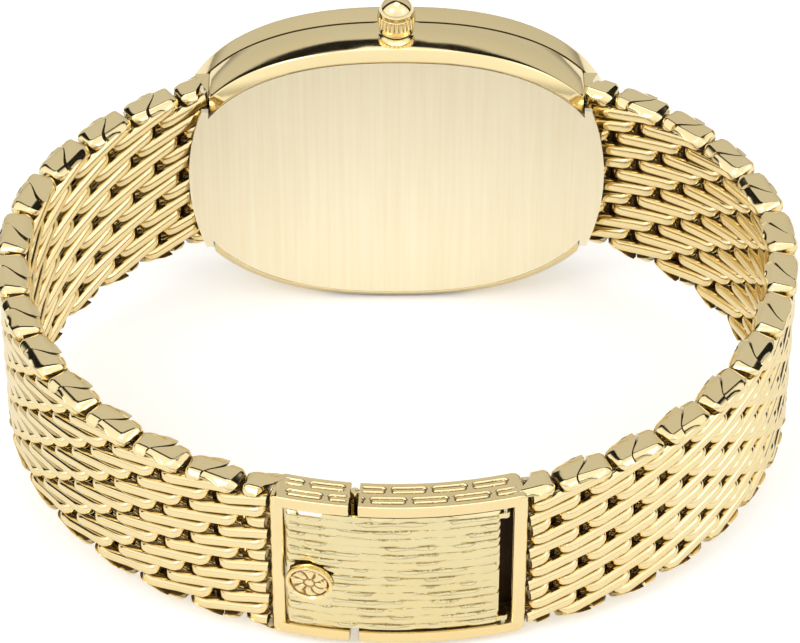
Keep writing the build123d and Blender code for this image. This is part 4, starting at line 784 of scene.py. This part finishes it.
MOVEMENT_BRASS = metal("gilt_brass", (0.80, 0.66, 0.40), (0.74, 0.60, 0.34), 0.3, 1200.0, 1.0, 0.3)
MOVEMENT_STEEL = metal("fine_steel", (0.62, 0.62, 0.64), (0.54, 0.54, 0.57), 0.25, 1200.0, 0.1, 0.3)
DIAL_LACQUER = metal("dial_lacquer", (0.93, 0.88, 0.76), (0.89, 0.84, 0.71), 0.4, 4000.0, 0.02, 0.2,
                     spread=0.1, metallic=0.2)
SEAL = metal("seal_rubber", (0.03, 0.03, 0.03), (0.04, 0.04, 0.04), 0.7, 3000.0, 1.0, 0.4,
             spread=0.1, metallic=0.0)


def sapphire():
    """Clear sapphire: a plain glass with faint polish marks in its roughness."""
    material, tree, shader = new_material("sapphire_crystal", {
        "Base Color": (0.97, 0.98, 1.0, 1), "Transmission Weight": 1.0, "IOR": 1.45})
    marks = add_node(tree, "ShaderNodeGroup", node_tree=POLISH)
    marks.inputs["Scale"].default_value = 600.0
    rough = add_range(tree, marks.outputs["Marks"], {"To Min": 0.0, "To Max": 0.03})
    tree.links.new(rough, shader.inputs["Roughness"])
    return material


NODE_MATERIALS = {
    "gold": GOLD, "gold_satin": GOLD_SATIN, "hand_gold": HAND_GOLD, "dial_lacquer": DIAL_LACQUER,
    "movement_brass": MOVEMENT_BRASS, "movement_steel": MOVEMENT_STEEL, "seal_rubber": SEAL,
    "sapphire": sapphire(),
}
for entry in frame["record"]["subparts"]:
    data = frame["nodes"][entry["node"]].data
    data.materials.clear()
    data.materials.append(NODE_MATERIALS[entry["material_slot"]])

# Bracelet pieces
for side in ("left", "right"):
    for index in range(BODIES):
        rows = (2 * index, 2 * index + 1)
        solids = [part for row in rows for part in coil(row) + rim_blocks(row)]
        rods = [pin_rod(row + 1) for row in rows]
        name = f"{side}_rows_{index + 1:02d}"
        # The pins between rows take the near-black painted shade material
        add_piece(f"{name}_weave", on_side(solids, side), GOLD, f"{name}_body", [name],
                  deep=on_side(rods, side))


# End links: the comb of two cut rows on a wedge against the case
def end_link_wedge():
    """The wedge: a four-sided outline between the case's end and the first row, carried along Z."""
    normal = math.atan2(*(PINS[1] - PINS[0])[::-1]) - math.pi / 2
    across = HALF_BAND * np.array([math.cos(normal), math.sin(normal)])
    outer, inner = PINS[0] + across, PINS[0] - across
    face = -CASE_END_X - END_LINK_GAP
    low, top = BACK_PLANE_Y + END_LINK_LOW, BACK_PLANE_Y + CASE_SPLIT
    outline = [(face, low), (face, top), (outer[0], min(outer[1], top)),
               (inner[0], max(inner[1], low))]
    x, y = rounded(outline, END_LINK_CORNER).T
    z = half_width(0)
    levels = (-z, END_LINK_CORNER - z, z - END_LINK_CORNER, z)
    return ring_solid(np.array([np.stack([x, y, np.full(len(x), level)], -1) for level in levels]))


for side in ("left", "right"):
    solids = coil(-2, low=0.02) + coil(-1, low=0.02) + rim_blocks(-2, low=-1) + [end_link_wedge()]
    add_piece(f"end_link_{side}_weave", on_side(solids, side), GOLD, "case", [f"end_link_{side}"])

# Case pieces: profiles of (half length, half height, depth), and of (radius, height) on the crown
wall_depth = np.linspace(WALL_LOW, CASE_SPLIT, 11)
wall_bulge = WALL_BULGE * np.sin((wall_depth - WALL_LOW) / (CASE_SPLIT - WALL_LOW) * math.pi)
wall = np.stack([16.95 + wall_bulge, 13.0 + wall_bulge, wall_depth], -1)
bevel = [(16.18, 12.12, 0.0), (16.24, 12.19, 0.0), (16.28, 12.24, 0.03), (16.88, 12.92, 0.44),
         (16.93, 12.98, 0.5)]
inside = [(13.9, 10.8, CASE_SPLIT), (13.9, 10.8, 0.72), (16.13, 12.1, 0.72), (16.13, 12.1, 0.02)]
middle_profile = np.concatenate([bevel, wall, inside])
collar = [(0.05, 12.2), (2.0, 12.2), (2.0, 12.99), (1.8, 13.05), (1.62, 13.11), (1.47, 13.18),
          (1.36, 13.25), (1.3, 13.26), (0.62, 13.26), (0.62, 13.9), (0.05, 13.9)]
middle_solids = [oval_ring(middle_profile, CASE_END_X), revolve(collar, 96, top_depth=CASE_SPLIT)]
add_piece("case_middle_shell", middle_solids, GOLD, "case", ["case_middle"])

fall = np.linspace(0, math.pi / 2, 10)[1:]
bezel_edge = [(17.0, 13.05, 3.73), (17.02, 13.07, 4.0), (17.03, 13.08, 5.1)]
bezel_fall = np.stack([16.15 + 0.88 * np.cos(fall), 12.25 + 0.83 * np.cos(fall),
                       5.1 + 0.85 * np.sin(fall)], -1)
bezel_in = [(14.33, 10.63, 5.97), (14.33, 10.63, 5.07), (13.6, 9.9, 5.07), (13.6, 9.9, 4.09),
            (13.9, 10.8, 4.09), (13.9, 10.8, 3.73)]
bezel_profile = np.concatenate([bezel_edge, bezel_fall, bezel_in])
add_piece("bezel_ring", [oval_ring(bezel_profile)], GOLD, "case", ["bezel"])


def flutes(angle, height):
    """Grooves of the crown: |sin|^0.6 of the angle, between the ring and the dome."""
    groove = FLUTE_DEPTH * (np.abs(np.sin(FLUTES / 2 * angle)) ** 0.6 - 1)
    above = np.clip((height - FLUTE_LOW) / FLUTE_FADE, 0, 1)
    below = np.clip((FLUTE_HIGH - height) / FLUTE_FADE, 0, 1)
    return groove * above * below


dome = np.linspace(0, math.pi / 2, 14)
crown_profile = [(0.76, 14.3), (0.76, 13.31), (1.2, 13.31), (1.3, 13.38), (1.32, 13.6),
                 (1.3, 13.82), (1.34, 13.9), (1.43, 13.96), (1.45, 14.05), (1.45, 14.82),
                 (1.43, 14.9), (1.36, 14.94)]
crown_profile += [(max(DOME_RADIUS * math.cos(t), 0.02), FLUTE_HIGH + DOME_HEIGHT * math.sin(t))
                  for t in dome]
add_piece("crown_fluted", [revolve(crown_profile, 260, flutes)], GOLD, "crown_and_stem", ["crown"])

# Clasp pieces
reach = BAND_LENGTH + COMB_OVERLAP
comb = coil(CELLS - 2, high=reach) + coil(CELLS - 1, high=reach)
comb += rim_blocks(CELLS - 1, high=reach + 0.2)
left_bar = clasp_bar(-BAR_INNER_X, -CLASP_HALF_LENGTH, BAR_CORNER)
bar_overlap_x = CLASP_HALF_LENGTH - RAIL_OVERLAP
left_rails = [clasp_rail(-bar_overlap_x, LEFT_RAIL_END, side) for side in (1, -1)]
add_piece("clasp_left_rails", left_rails, GOLD_CUT, "clasp_left", ["clasp_left_frame"])
add_piece("clasp_left_frame_shell", comb + [pin_rod(CELLS - 1), left_bar], GOLD, "clasp_left",
          ["clasp_left_frame"])

right_bar = clasp_bar(BAR_INNER_X, CLASP_HALF_LENGTH, RIGHT_BAR_CORNER)
right_rails = [clasp_rail(RIGHT_RAIL_END, bar_overlap_x, side) for side in (1, -1)]
add_piece("clasp_right_rails", right_rails, GOLD_CUT, "clasp_right", ["clasp_right_frame"])
hinge_pins = []
for low, high in HINGE_LEVELS:
    hinge_pins.append(clasp_rod(HINGE_X, -0.42, 0.3, low, high))
    hinge_pins.append(clasp_block(HINGE_X, -2.7, -0.57, -0.27, low, high))
# The web in the slot behind the cover and the frame's last pin are near black: painted shade
slot_shade_web = clasp_block(6.5, BAR_INNER_X + 0.1, -HALF_BAND, -0.85, -6.15, 6.15)
add_piece("clasp_right_frame_shell", on_side(comb, "right") + [right_bar] + hinge_pins, GOLD,
          "clasp_right", ["clasp_right_frame"],
          deep=[slot_shade_web] + on_side([pin_rod(CELLS - 1)], "right"))

cover_solids = [clasp_cover()]
for low, high in KNUCKLE_LEVELS:
    cover_solids.append(clasp_rod(COVER_HINGE_X, 0.85, 0.35, low, high))
    cover_solids.append(clasp_block(6.8, COVER_HINGE_X, 0.82, 1.18, low, high))
add_piece("clasp_cover_bark", cover_solids, GOLD_BARK, "clasp_cover_body", ["clasp_cover"])
add_piece("clasp_emblem_boss", [emblem()], GOLD_CUT, "clasp_cover_body", ["clasp_emblem"],
          crease=50)


# Stage, light and camera
TENT_STRENGTH = 1.25
HORIZON_SHARE = 0.42
TENT_LEVELS = ((-1.0, 0.8), (-0.3, 1.0), (0.40, 0.85), (0.47, 0.01), (0.67, 0.01), (0.70, 0.56),
               (1.02, 0.50))
FLOOR_RADIUS = 1.2
FLOOR_LEVEL = -0.00005
CAMERA_GLOW = 0.20
FLOOR_GLOW = 0.10
LIGHT_TARGET = (0, 0, 0.01)


def white_mix(tree, lit, glow):
    """Mixes a lit shader with a white glow for rays that show the backdrop."""
    path = add_node(tree, "ShaderNodeLightPath")
    seen = add_node(tree, "ShaderNodeMath", operation="MAXIMUM")
    tree.links.new(path.outputs["Is Camera Ray"], seen.inputs[0])
    tree.links.new(path.outputs["Is Transmission Ray"], seen.inputs[1])
    mix = add_node(tree, "ShaderNodeMixShader")
    tree.links.new(seen.outputs[0], mix.inputs[0])
    tree.links.new(lit, mix.inputs[1])
    tree.links.new(glow, mix.inputs[2])
    return mix.outputs[0]


def sum_of(tree, first, second):
    """The output of a node that adds two values."""
    node = add_node(tree, "ShaderNodeMath", operation="ADD")
    tree.links.new(first, node.inputs[0])
    tree.links.new(second, node.inputs[1])
    return node.outputs[0]


def studio_world():
    """A tent for all but camera rays, with one dark curtain.

    Its level follows f = y + 0.2 z + 0.3 max(|x| - 0.2, 0) + 0.08 step(x), and falls towards the
    horizon as a smooth step of z.
    """
    world = bpy.data.worlds.new("studio_tent")
    bpy.context.scene.world = world
    world.use_nodes = True
    tree = world.node_tree
    links = tree.links
    tree.nodes.clear()
    place = add_node(tree, "ShaderNodeTexCoord").outputs["Generated"]
    split = add_node(tree, "ShaderNodeSeparateXYZ")
    links.new(place, split.inputs[0])
    slope = add_node(tree, "ShaderNodeVectorMath", operation="DOT_PRODUCT")
    slope.inputs[1].default_value = (0.0, 1.0, 0.2)
    links.new(place, slope.inputs[0])
    sideways = add_node(tree, "ShaderNodeMath", operation="ABSOLUTE")
    links.new(split.outputs["X"], sideways.inputs[0])
    bend = add_range(tree, sideways.outputs[0], {"From Min": 0.2, "From Max": 1.0, "To Max": 0.24})
    right = add_range(tree, split.outputs["X"],
                      {"From Min": 0.01, "From Max": 0.10, "To Max": 0.08})
    curtain = sum_of(tree, slope.outputs["Value"], sum_of(tree, bend, right))
    first, last = TENT_LEVELS[0][0], TENT_LEVELS[-1][0]
    share = add_range(tree, curtain, {"From Min": first, "From Max": last})
    ramp = add_node(tree, "ShaderNodeValToRGB")
    stops = ramp.color_ramp.elements
    while len(stops) < len(TENT_LEVELS):
        stops.new(0.5)
    for stop, (f, level) in zip(stops, TENT_LEVELS):
        stop.position = (f - first) / (last - first)
        stop.color = (level, level, level, 1)
    links.new(share, ramp.inputs[0])
    low = add_range(tree, split.outputs["Z"],
                    {"From Min": -0.05, "From Max": 0.2, "To Min": HORIZON_SHARE * TENT_STRENGTH,
                     "To Max": TENT_STRENGTH}, "SMOOTHSTEP")
    tent = add_node(tree, "ShaderNodeBackground")
    links.new(ramp.outputs["Color"], tent.inputs["Color"])
    links.new(low, tent.inputs["Strength"])
    white = add_node(tree, "ShaderNodeBackground", {"Color": (1, 1, 1, 1)})
    result = add_node(tree, "ShaderNodeOutputWorld")
    links.new(white_mix(tree, tent.outputs[0], white.outputs[0]), result.inputs[0])


def floor():
    """A round pale floor under the watch, with a little glow that is stronger for camera rays."""
    angle = np.linspace(0, 2 * math.pi, 64, endpoint=False)
    x, y = FLOOR_RADIUS * np.cos(angle), FLOOR_RADIUS * np.sin(angle)
    points = np.stack([x, y, np.full(64, FLOOR_LEVEL)], -1)
    mesh = bpy.data.meshes.new("studio_floor")
    mesh.from_pydata(points.tolist(), [], [list(range(64))])
    material, tree, shader = new_material("pale_paper", {
        "Base Color": (0.93, 0.93, 0.93, 1), "Roughness": 0.9, "Specular IOR Level": 0.0,
        "Emission Color": (1, 1, 1, 1)})
    path = add_node(tree, "ShaderNodeLightPath")
    lift = add_node(tree, "ShaderNodeMath", operation="MULTIPLY_ADD")
    lift.inputs[1].default_value = CAMERA_GLOW
    lift.inputs[2].default_value = FLOOR_GLOW
    tree.links.new(path.outputs["Is Camera Ray"], lift.inputs[0])
    tree.links.new(lift.outputs[0], shader.inputs["Emission Strength"])
    mesh.materials.append(material)
    ground = bpy.data.objects.new("studio_floor", mesh)
    bpy.context.scene.collection.objects.link(ground)


def aim(direction):
    """Euler turn that points -Z along a direction and keeps Y up."""
    return Vector(direction).to_track_quat("-Z", "Y").to_euler()


def softbox(name, place, size, energy):
    """A square area lamp aimed at the watch."""
    lamp = bpy.data.lights.new(name, "AREA")
    lamp.shape = "SQUARE"
    lamp.size = size
    lamp.energy = energy
    piece = bpy.data.objects.new(name, lamp)
    piece.location = place
    piece.rotation_euler = aim(np.array(LIGHT_TARGET) - np.array(place))
    bpy.context.scene.collection.objects.link(piece)


def camera():
    """The photograph's view: a long lens, level across, looking down on the watch."""
    data = bpy.data.cameras.new("photo_camera")
    data.lens = CAMERA_LENS
    data.clip_start = 0.01
    data.clip_end = 10.0
    piece = bpy.data.objects.new("photo_camera", data)
    level = math.cos(CAMERA_RISE)
    forward = np.array([level * math.sin(CAMERA_TURN), level * math.cos(CAMERA_TURN),
                        -math.sin(CAMERA_RISE)])
    piece.location = rest(LOOK_POINT) - forward * CAMERA_DISTANCE
    piece.rotation_euler = aim(forward)
    bpy.context.scene.collection.objects.link(piece)
    bpy.context.scene.camera = piece


studio_world()
floor()
softbox("key_softbox", (-0.28, -0.32, 0.42), 0.22, 0.42)
softbox("fill_softbox", (0.34, -0.22, 0.30), 0.18, 0.13)
softbox("top_softbox", (0.02, 0.05, 0.55), 0.25, 0.22)
camera()
bpy.context.scene.view_settings.view_transform = "Standard"
